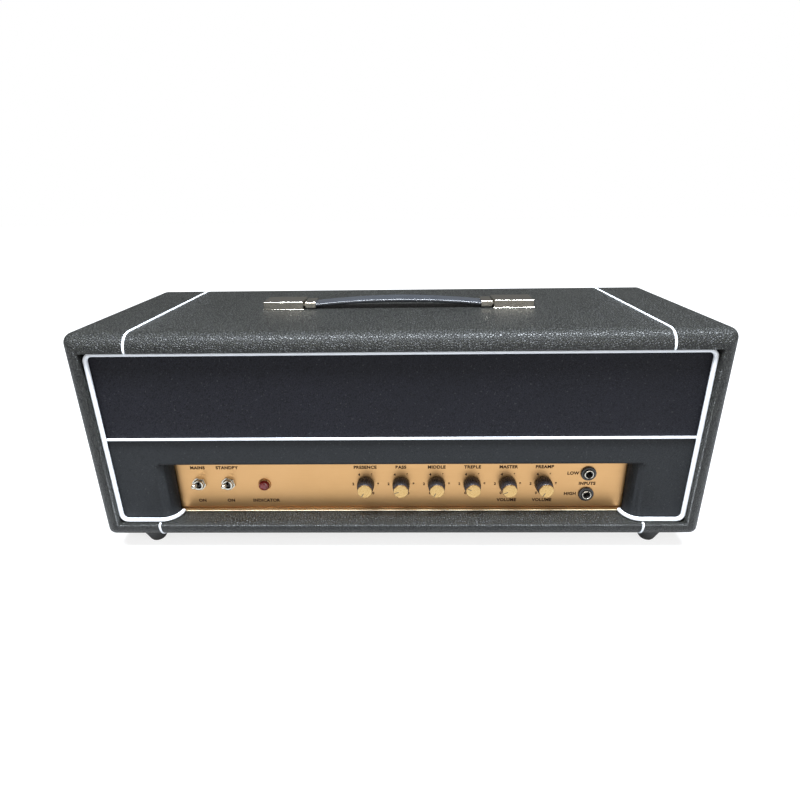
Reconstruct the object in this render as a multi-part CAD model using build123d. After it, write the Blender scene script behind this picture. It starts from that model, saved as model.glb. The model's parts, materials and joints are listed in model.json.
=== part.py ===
"""Valve guitar amplifier head: a vinyl-covered plywood cabinet, steel chassis, gold panel and strap handle.

Millimetres. X runs along the width, -Y is the front and +Z is up.
The origin is on the floor under the middle.
"""

import os
from math import cos, radians, sin

from build123d import *

# ---- cabinet
WIDTH = 670.0
DEPTH = 235.0
HEIGHT = 240.0  # without the feet
FOOT_HEIGHT = 17.0
PLY = 17.2
VINYL = 0.8
FRONT_RADIUS = 16.0  # edges around the front and the rear opening
SIDE_RADIUS = 9.0  # edges that run from front to rear
REAR_RETURN = 26.0  # vinyl turned in at the rear

# ---- front panels and piping
FACE_RECESS = 8.6
FRONT_BOARD = 16.4
BOARD_GAP = 0.5  # around the front boards and the rear panel
PIPING_RADIUS = 2.3
PIPING_CORNER = 7.5
PIPING_GAP = 0.1
MIDDLE_PIPING_RADIUS = 1.4
MIDDLE_PIPING_HEIGHT = 122.2  # above the cabinet's underside
PIPING_WEB = 0.8
PIPING_WEB_DEPTH = 12.0
CUTOUT_HEIGHT = 89.0  # top of the control opening above the cabinet's underside
LEG_WIDTH = 62.2  # from the cabinet's inner side to the control opening
LEG_RADIUS = 15.0
CUTOUT_TOP_RADIUS = 4.0
SEAM_INSET = 65.5  # centre of each seam bead from the cabinet's side
SEAM_WIDTH = 2.4
SEAM_PROUD = 1.1
CLEAT = 18.0

# ---- rear panel
REAR_BOARD = 12.0
REAR_RECESS = 5.5
REAR_PANEL_GAP = 11.2  # from the chassis top to the rear panel
VENT_WIDTH = 330.0
VENT_HEIGHT = 58.0
VENT_SHEET = 1.2
VENT_LAP = 9.0
VENT_SLOT = 5.0
VENT_PITCH = 11.0
VENT_BAR = 8.0  # between the two rows of slots
REAR_SCREW_RADIUS = 2.0
REAR_SCREW_HEAD = 4.6

# ---- chassis
PLATE = 2.0  # control panel
PLATE_GAP = 1.5  # between the front board and the control panel
PLATE_OVERLAP = 4.0  # past each side of the control opening
PLATE_RISE = 3.0  # above the top of the control opening
LIP = 1.9
LIP_THICKNESS = 1.2
SHEET = 1.6
CHASSIS_REAR_GAP = 26.5  # from the chassis's rear wall to the cabinet's rear
CHASSIS_HEIGHT = 72.0
CHASSIS_FLANGE = 20.0
CHASSIS_BOLT_INSET = 25.0  # from the chassis's side
CHASSIS_BOLT_RADIUS = 3.0
CLEARANCE = 0.05  # threads, shafts and bushings in their holes
HOLE_CLEARANCE = 0.3

# ---- controls
CONTROL_HEIGHT = 54.0  # centre line above the cabinet's underside
KNOB_NAMES = ("presence", "bass", "middle", "treble", "master", "preamp")
KNOB_REST = (-150.0, -107.0, -150.0, -63.0, -115.0, -150.0)  # clockwise from the top
KNOB_LAST_INSET = 90.9  # from the control opening's right side
KNOB_PITCH = 40.3
KNOB_BASE_RADIUS = 9.9
KNOB_TOP_RADIUS = 8.4
KNOB_LENGTH = 13.6
KNOB_STANDOFF = 0.7
KNOB_RECESS_RADIUS = 7.6
KNOB_RECESS = 3.6
KNOB_CAP_RADIUS = 8.1
KNOB_CAP = 1.2
KNOB_FLUTES = 24
KNOB_FLUTE_RADIUS = 1.4
KNOB_FLUTE_DEPTH = 1.2
SHAFT_RADIUS = 3.0
SHAFT_LENGTH = 12.2  # in front of the control panel
SHAFT_TAIL = 6.0  # behind the chassis wall
POT_BUSHING_RADIUS = 4.7
POT_BUSHING_PROUD = 2.8
POT_CAN_RADIUS = 12.0
POT_CAN_LENGTH = 11.0
POT_NUT_FLATS = 12.0
POT_NUT = 2.2

TOGGLE_NAMES = ("mains", "standby")
TOGGLE_INSET = 25.0  # from the control opening's left side
TOGGLE_PITCH = 33.5
TOGGLE_HEIGHT = 56.0
TOGGLE_TILT = 21.0  # above or below level
TOGGLE_BUSHING_RADIUS = 5.95
TOGGLE_BUSHING_LENGTH = 5.2
TOGGLE_BORE_RADIUS = 3.9
TOGGLE_PIVOT = 1.8  # in front of the control panel
TOGGLE_BALL_RADIUS = 3.4
TOGGLE_LEVER_LENGTH = 15.2
TOGGLE_LEVER_RADIUS = 2.6
TOGGLE_NECK_RADIUS = 1.6
TOGGLE_NUT_FLATS = 14.3
TOGGLE_NUT = 2.4
TOGGLE_PIN_RADIUS = 0.8
TOGGLE_BODY = (15.0, 27.0, 26.0)

INDICATOR_INSET = 99.5  # from the control opening's left side
INDICATOR_RADIUS = 6.1
INDICATOR_LENGTH = 5.0
INDICATOR_BEZEL_RADIUS = 7.2
INDICATOR_BEZEL = 1.4
INDICATOR_TUBE_RADIUS = 4.6
INDICATOR_TUBE_LENGTH = 22.0

JACK_INSET = 41.5  # from the control opening's right side
JACK_PITCH = 26.8
JACK_BORE_RADIUS = 3.25
JACK_BUSHING_RADIUS = 6.0
JACK_PROUD = 3.4
JACK_NUT_RADIUS = 8.6
JACK_NUT = 2.5
JACK_BODY = 19.0
JACK_DEPTH = 24.0
JACK_END = 2.0

# ---- rear fittings
INLET_X = -205.0
INLET_WIDTH = 27.0
INLET_HEIGHT = 19.5
INLET_WALL = 2.2
INLET_DEPTH = 17.0
INLET_FLANGE = (49.0, 27.0, 3.0)
INLET_PIN = (2.0, 13.0, 4.0)
INLET_PIN_PITCH = 7.0
FUSE_NAMES = ("mains", "ht")
FUSE_FIRST_X = -150.0
FUSE_PITCH = 36.0
FUSE_BODY_RADIUS = 6.4
FUSE_BODY_LENGTH = 32.0
FUSE_FLANGE_RADIUS = 8.6
FUSE_FLANGE = 2.5
FUSE_CAP_RADIUS = 6.8
FUSE_CAP_LENGTH = 9.0
FUSE_STEM_RADIUS = 4.2
FUSE_STEM = 12.0
SELECTOR_X = 20.0
SELECTOR_RADIUS = 13.0
SELECTOR_LENGTH = 9.0
SELECTOR_BODY_RADIUS = 15.0
SELECTOR_BODY_LENGTH = 14.0
SPEAKER_FIRST_X = 80.0
SPEAKER_PITCH = 34.0

# ---- on and under the chassis top
POWER_CORE = (100.0, 54.0, 84.0)
POWER_PLACE = (-188.0, 2.0)
OUTPUT_CORE = (78.0, 38.0, 65.0)
OUTPUT_PLACE = (10.0, 40.0)
CHOKE_CORE = (54.0, 26.0, 45.0)
CHOKE_PLACE = (110.0, 42.0)
COIL_BULGE = 14.0
COIL_GAP = 0.4
CORE_FOOT = 12.0
CORE_FOOT_SHEET = 3.0
CAPACITOR_PLACES = ((-98.0, -38.0), (-98.0, 38.0))
CAPACITOR_RADIUS = 17.5
CAPACITOR_LENGTH = 62.0
POWER_TUBE_PLACES = ((-25.0, -38.0), (45.0, -38.0))
POWER_TUBE_RADIUS = 15.5
POWER_TUBE_LENGTH = 78.0
TUBE_BASE_RADIUS = 17.0
TUBE_BASE_LENGTH = 22.0
PREAMP_TUBE_PLACES = ((112.0, -42.0), (160.0, -42.0), (208.0, -42.0))
PREAMP_TUBE_RADIUS = 10.5
PREAMP_TUBE_LENGTH = 46.0
GLASS = 1.2
SOCKET_DEPTH = 12.0
SOCKET_RING = 2.5  # above the chassis top
BOARD_PLACE = (70.0, 0.0)
BOARD_SIZE = (270.0, 66.0, 3.0)
BOARD_DROP = 30.0  # below the chassis top
STANDOFF_RADIUS = 4.0

# ---- handle
CAP_LENGTH = 46.0
CAP_WIDTH = 31.0
CAP_HEIGHT = 9.6
CAP_SHEET = 1.3
CAP_OUTER_X = 157.0
FERRULE_LENGTH = 12.0
FERRULE_GAP = 2.2
FERRULE_WIDTH = 25.0
FERRULE_THICKNESS = 8.0
FERRULE_LIFT = 0.7
TONGUE_WIDTH = 19.0
TONGUE_THICKNESS = 2.4
TONGUE_LENGTH = 35.0
TONGUE_CLEARANCE = 0.5
STRAP_WIDTH = 24.0
STRAP_THICKNESS = 7.2
STRAP_RISE = 5.0
STRAP_GAP = 0.3
HANDLE_SLIDE = 4.5  # each end comes in as the strap is lifted
HANDLE_BOLT_RADIUS = 2.5
HANDLE_BOSS_RADIUS = 4.5

# ---- feet
FOOT_INSET_X = 46.5
FOOT_INSET_Y = 26.0
FOOT_TOP_RADIUS = 15.0
FOOT_BOTTOM_RADIUS = 8.5
FOOT_SCREW_RADIUS = 2.5
FOOT_SCREW_HEAD = 5.0
FOOT_SCREW_DEPTH = 8.0  # head's seat above the floor

# ---- places worked out from the sizes above
half_width = WIDTH / 2
half_depth = DEPTH / 2
under = FOOT_HEIGHT
top = under + HEIGHT
wall = PLY + VINYL * 2
inner_x = half_width - wall
ledge_z = under + wall
roof_z = top - wall
ply_x = half_width - VINYL - PLY
opening_x = inner_x - LEG_WIDTH
seam_x = half_width - SEAM_INSET
foot_x = half_width - FOOT_INSET_X
foot_y = half_depth - FOOT_INSET_Y
ply_floor_z = under + VINYL + PLY
ply_roof_z = top - VINYL - PLY
face_y = -half_depth + FACE_RECESS
board_back_y = face_y + FRONT_BOARD
plate_y = board_back_y + PLATE_GAP
chassis_y = plate_y + PLATE
chassis_inside_y = chassis_y + SHEET
chassis_rear_y = half_depth - CHASSIS_REAR_GAP
chassis_half = opening_x + PLATE_OVERLAP - 1.0
chassis_top = ply_floor_z + CHASSIS_HEIGHT
chassis_bolt_x = chassis_half - CHASSIS_BOLT_INSET
piping_y = face_y - PIPING_RADIUS - PIPING_GAP
middle_z = under + MIDDLE_PIPING_HEIGHT
cutout_z = under + CUTOUT_HEIGHT
control_z = under + CONTROL_HEIGHT
toggle_z = under + TOGGLE_HEIGHT
jack_z = (control_z - JACK_PITCH / 2, control_z + JACK_PITCH / 2)
rear_face_y = half_depth - REAR_RECESS
rear_inside_y = rear_face_y - REAR_BOARD
rear_panel_z = chassis_top + REAR_PANEL_GAP
vent_z = (rear_panel_z + roof_z) / 2
chassis_bolt_y = (chassis_inside_y + CHASSIS_FLANGE / 2, chassis_rear_y - SHEET - CHASSIS_FLANGE / 2)
handle_bolt_x = CAP_OUTER_X - CAP_LENGTH / 2
ferrule_x = CAP_OUTER_X - CAP_LENGTH - FERRULE_GAP
strap_end_x = ferrule_x - FERRULE_LENGTH
knob_first_x = opening_x - KNOB_LAST_INSET - KNOB_PITCH * (len(KNOB_NAMES) - 1)
toggle_first_x = TOGGLE_INSET - opening_x
indicator_x = INDICATOR_INSET - opening_x
jack_x = opening_x - JACK_INSET
SIDES = (-1, 1)


# ---- small helpers
def block(x0, x1, y0, y1, z0, z1):
    size = Box(abs(x1 - x0), abs(y1 - y0), abs(z1 - z0))
    return Pos((x0 + x1) / 2, (y0 + y1) / 2, (z0 + z1) / 2) * size


def rod_x(x0, x1, y, z, radius):
    return Pos((x0 + x1) / 2, y, z) * Rot(0, 90, 0) * Cylinder(radius, abs(x1 - x0))


def rod_y(x, y0, y1, z, radius):
    return Pos(x, (y0 + y1) / 2, z) * Rot(-90, 0, 0) * Cylinder(radius, abs(y1 - y0))


def rod_z(x, y, z0, z1, radius):
    return Pos(x, y, (z0 + z1) / 2) * Cylinder(radius, abs(z1 - z0))


def hexagon_y(x, y0, y1, z, flats):
    outline = RegularPolygon(flats / 2, 6, major_radius=False)
    return Pos(x, min(y0, y1), z) * Rot(-90, 0, 0) * extrude(outline, abs(y1 - y0))


def hexagon_z(x, y, z0, z1, flats):
    outline = RegularPolygon(flats / 2, 6, major_radius=False)
    return Pos(x, y, min(z0, z1)) * extrude(outline, abs(z1 - z0))


def lathe_z(x, y, outline):
    """Turn an outline of (radius, height) points about a vertical axis."""
    points = [(radius, 0, height) for radius, height in outline]
    return Pos(x, y, 0) * revolve(make_face(Polyline(*points, close=True)), Axis.Z, 360)


def lathe_y(x, z, outline):
    """Turn an outline of (radius, y) points about an axis that runs from front to rear."""
    points = [(radius, y, 0) for radius, y in outline]
    return Pos(x, 0, z) * revolve(make_face(Polyline(*points, close=True)), Axis.Y, 360)


def rounded_cabinet(grow):
    """The cabinet's outer shape, larger by a distance on every side."""
    shape = Pos(0, 0, under + HEIGHT / 2) * Box(WIDTH + 2 * grow, DEPTH + 2 * grow, HEIGHT + 2 * grow)
    around = shape.edges().filter_by(Axis.Y, reverse=True)
    shape = fillet(around, FRONT_RADIUS + grow)
    return fillet(shape.edges().filter_by(Axis.Y), SIDE_RADIUS + grow)


def joined(solids):
    whole = solids[0]
    for solid in solids[1:]:
        whole = whole + solid
    return whole


def without(shape, cutters):
    for cutter in cutters:
        shape = shape - cutter
    return shape


# ---- cabinet
def foot_places():
    return [(sx * foot_x, sy * foot_y) for sx in SIDES for sy in SIDES]


def chassis_bolt_places():
    return [(sx * chassis_bolt_x, y) for sx in SIDES for y in chassis_bolt_y]


def board_holes():
    """Holes through the boards and the vinyl for the fasteners that pass them."""
    deep = wall + 2
    holes = [
        rod_z(x, y, under - 1, under + deep, CHASSIS_BOLT_RADIUS + HOLE_CLEARANCE)
        for x, y in chassis_bolt_places()
    ]
    holes += [
        rod_z(x, y, under - 1, under + deep - 4, FOOT_SCREW_RADIUS + CLEARANCE) for x, y in foot_places()
    ]
    holes += [
        rod_z(sx * handle_bolt_x, 0, top - deep, top + 1, HANDLE_BOLT_RADIUS + HOLE_CLEARANCE)
        for sx in SIDES
    ]
    return holes


def cabinet():
    holes = board_holes()
    outer = rounded_cabinet(0)
    wood = rounded_cabinet(-VINYL)
    room = block(-ply_x, ply_x, -half_depth, half_depth, ply_floor_z, ply_roof_z)
    lining = block(-inner_x, inner_x, -half_depth, half_depth, ledge_z, roof_z)
    bare = block(-ply_x, ply_x, plate_y + 1, half_depth - REAR_RETURN, ply_floor_z, ply_roof_z)
    boards = without(wood - room, holes)
    middle = block(-ply_x, ply_x, -half_depth, half_depth, under, top)
    sides = (boards - middle).solids()
    flats = (boards & middle).solids().sort_by(Axis.Z)
    vinyl = without(outer - (wood - room) - lining - bare, holes)
    return {
        "bottom_board": [flats[0]],
        "top_board": [flats[-1]],
        "side_boards": sides,
        "vinyl_covering": vinyl.solids(),
    }


def seam_piping():
    band = rounded_cabinet(SEAM_PROUD) - rounded_cabinet(0)
    middle_y = half_depth + SEAM_PROUD
    strips = []
    for sx in SIDES:
        x0 = sx * seam_x - SEAM_WIDTH / 2
        x1 = sx * seam_x + SEAM_WIDTH / 2
        rim_y = piping_y - PIPING_RADIUS - PIPING_GAP
        upper = band & block(x0, x1, -middle_y, middle_y, roof_z, top + SEAM_PROUD)
        lower = band & block(x0, x1, -middle_y, middle_y, under - SEAM_PROUD, ledge_z)
        upper = upper + block(x0, x1, -middle_y, rim_y, roof_z - SEAM_PROUD, roof_z)
        lower = lower + block(x0, x1, -middle_y, rim_y, ledge_z, ledge_z + SEAM_PROUD)
        strips += upper.solids() + lower.solids()
    return {"seam_piping": strips}


def front_panels():
    edge_x = inner_x - BOARD_GAP
    web = PIPING_WEB / 2 + PIPING_GAP
    bead = rod_x(-edge_x, edge_x, face_y - 0.8, middle_z, MIDDLE_PIPING_RADIUS + PIPING_GAP)
    upper = block(-edge_x, edge_x, face_y, board_back_y, middle_z + web, roof_z - BOARD_GAP) - bead
    lower = block(-edge_x, edge_x, face_y, board_back_y, ledge_z + BOARD_GAP, middle_z - web) - bead
    opening = opening_x
    lower = lower - block(-opening, opening, face_y, board_back_y, under, cutout_z)
    for sx in SIDES:
        corner_x = sx * (opening + LEG_RADIUS)
        corner_y = face_y + LEG_RADIUS
        spare = block(sx * opening, corner_x, face_y, corner_y, under, cutout_z)
        spare = spare - rod_z(corner_x, corner_y, under, cutout_z, LEG_RADIUS)
        lower = lower - spare
    reach = opening + LEG_RADIUS / 2
    over_y = face_y + CUTOUT_TOP_RADIUS
    over_z = cutout_z + CUTOUT_TOP_RADIUS
    spare = block(-reach, reach, face_y, over_y, cutout_z, over_z)
    lower = lower - (spare - rod_x(-reach, reach, over_y, over_z, CUTOUT_TOP_RADIUS))
    return {"upper_front_panel": [upper], "lower_front_panel": lower.solids()}


def front_piping():
    """One bead around the opening, turned in around the two legs beside the controls."""
    inset = PIPING_RADIUS + PIPING_GAP
    x = inner_x - inset
    leg_x = opening_x - inset
    low = ledge_z + inset
    high = roof_z - inset
    end_y = face_y + LEG_RADIUS + 0.3
    points = [
        (-leg_x, end_y, low),
        (-leg_x, piping_y, low),
        (-x, piping_y, low),
        (-x, piping_y, high),
        (x, piping_y, high),
        (x, piping_y, low),
        (leg_x, piping_y, low),
        (leg_x, end_y, low),
    ]
    turn = LEG_RADIUS + inset
    corner = PIPING_CORNER
    path = FilletPolyline(*points, radius=[turn, corner, corner, corner, corner, turn])
    section = Plane(origin=path @ 0, z_dir=path % 0) * Circle(PIPING_RADIUS)
    ring = sweep(section, path)
    end_x = x - PIPING_RADIUS - PIPING_GAP
    bead = rod_x(-end_x, end_x, face_y - 0.8, middle_z, MIDDLE_PIPING_RADIUS)
    web = PIPING_WEB / 2
    web_y = face_y + PIPING_WEB_DEPTH
    bead = bead + block(-end_x, end_x, face_y - 0.8, web_y, middle_z - web, middle_z + web)
    return {"front_piping": [ring, bead]}


def rear_screw_places():
    side_x = inner_x - CLEAT / 2
    high = roof_z - CLEAT / 2
    low = rear_panel_z + CLEAT
    places = [(sx * side_x, z) for sx in SIDES for z in (low, high)]
    return places + [(x, high) for x in (-side_x / 3, side_x / 3)]


def rear_panel():
    edge_x = inner_x - BOARD_GAP
    x = VENT_WIDTH / 2
    z = VENT_HEIGHT / 2
    panel = block(-edge_x, edge_x, rear_inside_y, rear_face_y, rear_panel_z, roof_z - BOARD_GAP)
    panel = panel - block(-x, x, rear_inside_y, rear_face_y, vent_z - z, vent_z + z)
    reach_y = rear_inside_y - CLEAT + 4
    holes = [
        rod_y(sx, reach_y, rear_face_y, sz, REAR_SCREW_RADIUS + CLEARANCE) for sx, sz in rear_screw_places()
    ]
    screws = []
    for sx, sz in rear_screw_places():
        shank = rod_y(sx, reach_y + 1, rear_face_y, sz, REAR_SCREW_RADIUS)
        head = rod_y(sx, rear_face_y, rear_face_y + 1.8, sz, REAR_SCREW_HEAD)
        screws.append(shank + head)
    lap = VENT_LAP
    sheet_y = rear_inside_y - VENT_SHEET
    grille = block(-x - lap, x + lap, sheet_y, rear_inside_y, vent_z - z - lap, vent_z + z + lap)
    slot_height = (VENT_HEIGHT - VENT_BAR) / 2 - 3
    count = int((VENT_WIDTH - 6) / VENT_PITCH)
    row = SlotOverall(slot_height, VENT_SLOT, rotation=90)
    slots = []
    for i in range(count):
        slot_x = (i - (count - 1) / 2) * VENT_PITCH
        for sz in SIDES:
            slot_z = vent_z + sz * (VENT_BAR + slot_height) / 2
            place = Pos(slot_x, rear_inside_y - 2 * VENT_SHEET, slot_z)
            slots.append(place * Rot(-90, 0, 0) * extrude(row, 10))
    grille = grille - slots
    return {
        "rear_panel": [without(panel, holes)],
        "rear_panel_screws": screws,
        "vent_grille": grille.solids(),
        "panel_cleats": cleats(holes),
    }


def cleats(holes):
    """Battens glued inside the cabinet that carry the front boards and the rear panel."""
    inside = ply_x - CLEAT
    front = (board_back_y, board_back_y + CLEAT)
    rear = (rear_inside_y - CLEAT, rear_inside_y)
    battens = []
    for sx in SIDES:
        battens.append(block(sx * inside, sx * ply_x, front[0], front[1], ledge_z, ply_roof_z))
        battens.append(block(sx * inside, sx * ply_x, rear[0], rear[1], rear_panel_z, ply_roof_z))
    for y0, y1 in (front, rear):
        battens.append(block(-inside, inside, y0, y1, ply_roof_z - CLEAT, ply_roof_z))
    lining = VINYL
    clear = [
        block(-half_width, half_width, -half_depth, plate_y + 1, roof_z, top),
        block(-half_width, half_width, half_depth - REAR_RETURN, half_depth, roof_z, top),
    ]
    for sx in SIDES:
        edge = sx * half_width
        clear.append(block(sx * (ply_x - lining), edge, -half_depth, plate_y + 1, under, top))
        clear.append(block(sx * (ply_x - lining), edge, half_depth - REAR_RETURN, half_depth, under, top))
    return [without(batten, clear + holes).solids()[0] for batten in battens]


def feet():
    rubber = []
    screws = []
    seat = FOOT_SCREW_DEPTH
    for x, y in foot_places():
        edge = 2.0
        outline = [
            (FOOT_SCREW_RADIUS + CLEARANCE, under),
            (FOOT_TOP_RADIUS, under),
            (FOOT_TOP_RADIUS, under - 1.5),
            (FOOT_BOTTOM_RADIUS + 0.4, edge),
            (FOOT_BOTTOM_RADIUS - edge / 2, 0),
            (FOOT_SCREW_HEAD + HOLE_CLEARANCE, 0),
            (FOOT_SCREW_HEAD + HOLE_CLEARANCE, seat),
            (FOOT_SCREW_RADIUS + CLEARANCE, seat),
        ]
        foot = lathe_z(x, y, outline)
        rubber += foot.solids()
        head = rod_z(x, y, seat - 2.4, seat, FOOT_SCREW_HEAD)
        screws.append(head + rod_z(x, y, seat, under + wall - 4, FOOT_SCREW_RADIUS))
    return {"rubber_feet": rubber, "foot_screws": screws}


# ---- chassis and controls
def knob_places():
    return [knob_first_x + i * KNOB_PITCH for i in range(len(KNOB_NAMES))]


def toggle_places():
    return [toggle_first_x + i * TOGGLE_PITCH for i in range(len(TOGGLE_NAMES))]


def fuse_places():
    return [FUSE_FIRST_X + i * FUSE_PITCH for i in range(len(FUSE_NAMES))]


def speaker_places():
    return [SPEAKER_FIRST_X + i * SPEAKER_PITCH for i in range(2)]


def front_holes():
    reach = (plate_y - 1, chassis_inside_y + 1)
    holes = [rod_y(x, *reach, control_z, POT_BUSHING_RADIUS + CLEARANCE) for x in knob_places()]
    holes += [rod_y(x, *reach, toggle_z, TOGGLE_BUSHING_RADIUS + CLEARANCE) for x in toggle_places()]
    holes.append(rod_y(indicator_x, *reach, control_z, INDICATOR_TUBE_RADIUS + CLEARANCE))
    holes += [rod_y(jack_x, *reach, z, JACK_BUSHING_RADIUS + CLEARANCE) for z in jack_z]
    return holes


def rear_holes():
    reach = (chassis_rear_y - SHEET - 1, chassis_rear_y + 1)
    holes = [rod_y(x, *reach, control_z, FUSE_BODY_RADIUS + CLEARANCE) for x in fuse_places()]
    holes += [rod_y(x, *reach, control_z, JACK_BUSHING_RADIUS + CLEARANCE) for x in speaker_places()]
    holes.append(rod_y(SELECTOR_X, *reach, control_z, POT_BUSHING_RADIUS + CLEARANCE))
    x = INLET_WIDTH / 2 + CLEARANCE
    z = INLET_HEIGHT / 2 + CLEARANCE
    holes.append(block(INLET_X - x, INLET_X + x, *reach, control_z - z, control_z + z))
    return holes


def top_holes():
    reach = (chassis_top - SHEET - 1, chassis_top + 1)
    power = [rod_z(x, y, *reach, TUBE_BASE_RADIUS - 2 + CLEARANCE) for x, y in POWER_TUBE_PLACES]
    preamp = [rod_z(x, y, *reach, PREAMP_TUBE_RADIUS - 1 + CLEARANCE) for x, y in PREAMP_TUBE_PLACES]
    board = [rod_z(x, y, *reach, 1.5 + CLEARANCE) for x, y in standoff_places()]
    return power + preamp + board


def chassis():
    """Flat sheets welded at their edges: top, front, rear, two ends and two flanges."""
    x = chassis_half
    y0, y1 = chassis_y, chassis_rear_y
    z0, z1 = ply_floor_z, chassis_top
    inside_x = x - SHEET
    inside_y0, inside_y1 = y0 + SHEET, y1 - SHEET
    sheets = [
        block(-inside_x, inside_x, inside_y0, inside_y1, z1 - SHEET, z1),
        block(-x, x, y0, inside_y0, z0, z1),
        block(-x, x, inside_y1, y1, z0, z1),
        block(-x, -inside_x, inside_y0, inside_y1, z0, z1),
        block(inside_x, x, inside_y0, inside_y1, z0, z1),
        block(-inside_x, inside_x, inside_y0, inside_y0 + CHASSIS_FLANGE, z0, z0 + SHEET),
        block(-inside_x, inside_x, inside_y1 - CHASSIS_FLANGE, inside_y1, z0, z0 + SHEET),
    ]
    bolts = [
        rod_z(bx, by, z0 - 1, z0 + SHEET + 1, CHASSIS_BOLT_RADIUS + HOLE_CLEARANCE)
        for bx, by in chassis_bolt_places()
    ]
    holes = (top_holes(), front_holes(), rear_holes(), [], [], bolts, bolts)
    sheets = [without(sheet, cutters) for sheet, cutters in zip(sheets, holes)]
    plate_x = opening_x + PLATE_OVERLAP
    low = ledge_z + 0.2
    plate = block(-plate_x, plate_x, plate_y, chassis_y, low, cutout_z + PLATE_RISE)
    lip_x = opening_x - 2 * PIPING_RADIUS - 1
    plate = plate + block(-lip_x, lip_x, plate_y - LIP, plate_y, low, low + LIP_THICKNESS)
    fasteners = []
    for bx, by in chassis_bolt_places():
        washer = rod_z(bx, by, under - 1.5, under, 9.0)
        head = hexagon_z(bx, by, under - 5.5, under - 1.5, 10.0)
        nut = hexagon_z(bx, by, z0 + SHEET, z0 + SHEET + 5, 10.0)
        shank = rod_z(bx, by, under - 1.5, z0 + SHEET + 7, CHASSIS_BOLT_RADIUS)
        fasteners.append(joined([washer, head, shank, nut]))
    return {
        "chassis": sheets,
        "control_panel": [without(plate, front_holes())],
        "chassis_bolts": fasteners,
    }


def knob(x, rest):
    """A fluted knob with a spun cap, drawn with its pointer up and turned to its rest angle."""
    back = plate_y - KNOB_STANDOFF
    rim = back - KNOB_LENGTH
    front = rim - KNOB_CAP
    bore = SHAFT_RADIUS + CLEARANCE
    bore_end = plate_y - SHAFT_LENGTH - 0.3
    outline = [
        (KNOB_RECESS_RADIUS, back),
        (KNOB_BASE_RADIUS, back),
        (KNOB_BASE_RADIUS, back - 3),
        (KNOB_TOP_RADIUS, rim),
        (0, rim),
        (0, bore_end),
        (bore, bore_end),
        (bore, back - KNOB_RECESS),
        (KNOB_RECESS_RADIUS, back - KNOB_RECESS),
    ]
    body = lathe_y(0, 0, outline)
    for i in range(KNOB_FLUTES):
        turn = radians((i + 0.5) * 360 / KNOB_FLUTES)
        radius = KNOB_BASE_RADIUS + KNOB_FLUTE_RADIUS - KNOB_FLUTE_DEPTH
        flute = rod_y(radius * sin(turn), rim, back - 3, radius * cos(turn), KNOB_FLUTE_RADIUS)
        body = body - flute
    cap = rod_y(0, front, rim, 0, KNOB_CAP_RADIUS)
    cap = cap - block(-0.4, 0.4, front, front + 0.3, KNOB_CAP_RADIUS / 3, KNOB_CAP_RADIUS)
    place = Pos(x, 0, control_z) * Rot(0, rest, 0)
    return [place * body, place * cap]


def controls():
    nodes = {}
    cans = []
    nuts = []
    for name, x, rest in zip(KNOB_NAMES, knob_places(), KNOB_REST):
        nodes["knob_" + name] = knob(x, rest)
        tail = chassis_inside_y + SHAFT_TAIL
        nodes["shaft_" + name] = [rod_y(x, plate_y - SHAFT_LENGTH, tail, control_z, SHAFT_RADIUS)]
        outline = [
            (SHAFT_RADIUS + CLEARANCE, plate_y - POT_BUSHING_PROUD),
            (POT_BUSHING_RADIUS, plate_y - POT_BUSHING_PROUD),
            (POT_BUSHING_RADIUS, chassis_inside_y),
            (POT_CAN_RADIUS, chassis_inside_y),
            (POT_CAN_RADIUS, chassis_inside_y + POT_CAN_LENGTH),
            (0, chassis_inside_y + POT_CAN_LENGTH),
            (0, tail + 0.3),
            (SHAFT_RADIUS + CLEARANCE, tail + 0.3),
        ]
        can = lathe_y(x, control_z, outline)
        for i in (-1, 0, 1):
            lug_x = x + i * 5
            lug_y = chassis_inside_y + 2
            lug = block(lug_x - 1.2, lug_x + 1.2, lug_y, lug_y + 0.8, control_z - 17, control_z - 10)
            can = can + lug
        cans.append(can)
        nut = hexagon_y(x, plate_y - POT_NUT, plate_y, control_z, POT_NUT_FLATS)
        nuts.append(nut - rod_y(x, plate_y - 5, plate_y + 1, control_z, POT_BUSHING_RADIUS + CLEARANCE))
    for x in toggle_places():
        nut = hexagon_y(x, plate_y - TOGGLE_NUT, plate_y, toggle_z, TOGGLE_NUT_FLATS)
        nuts.append(nut - rod_y(x, plate_y - 5, plate_y + 1, toggle_z, TOGGLE_BUSHING_RADIUS + CLEARANCE))
    nodes["potentiometers"] = cans
    nodes.update(toggles())
    nodes.update(indicator())
    sockets, jack_nuts = jacks()
    nodes.update(sockets)
    nodes["panel_nuts"] = nuts + jack_nuts
    return nodes


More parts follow.
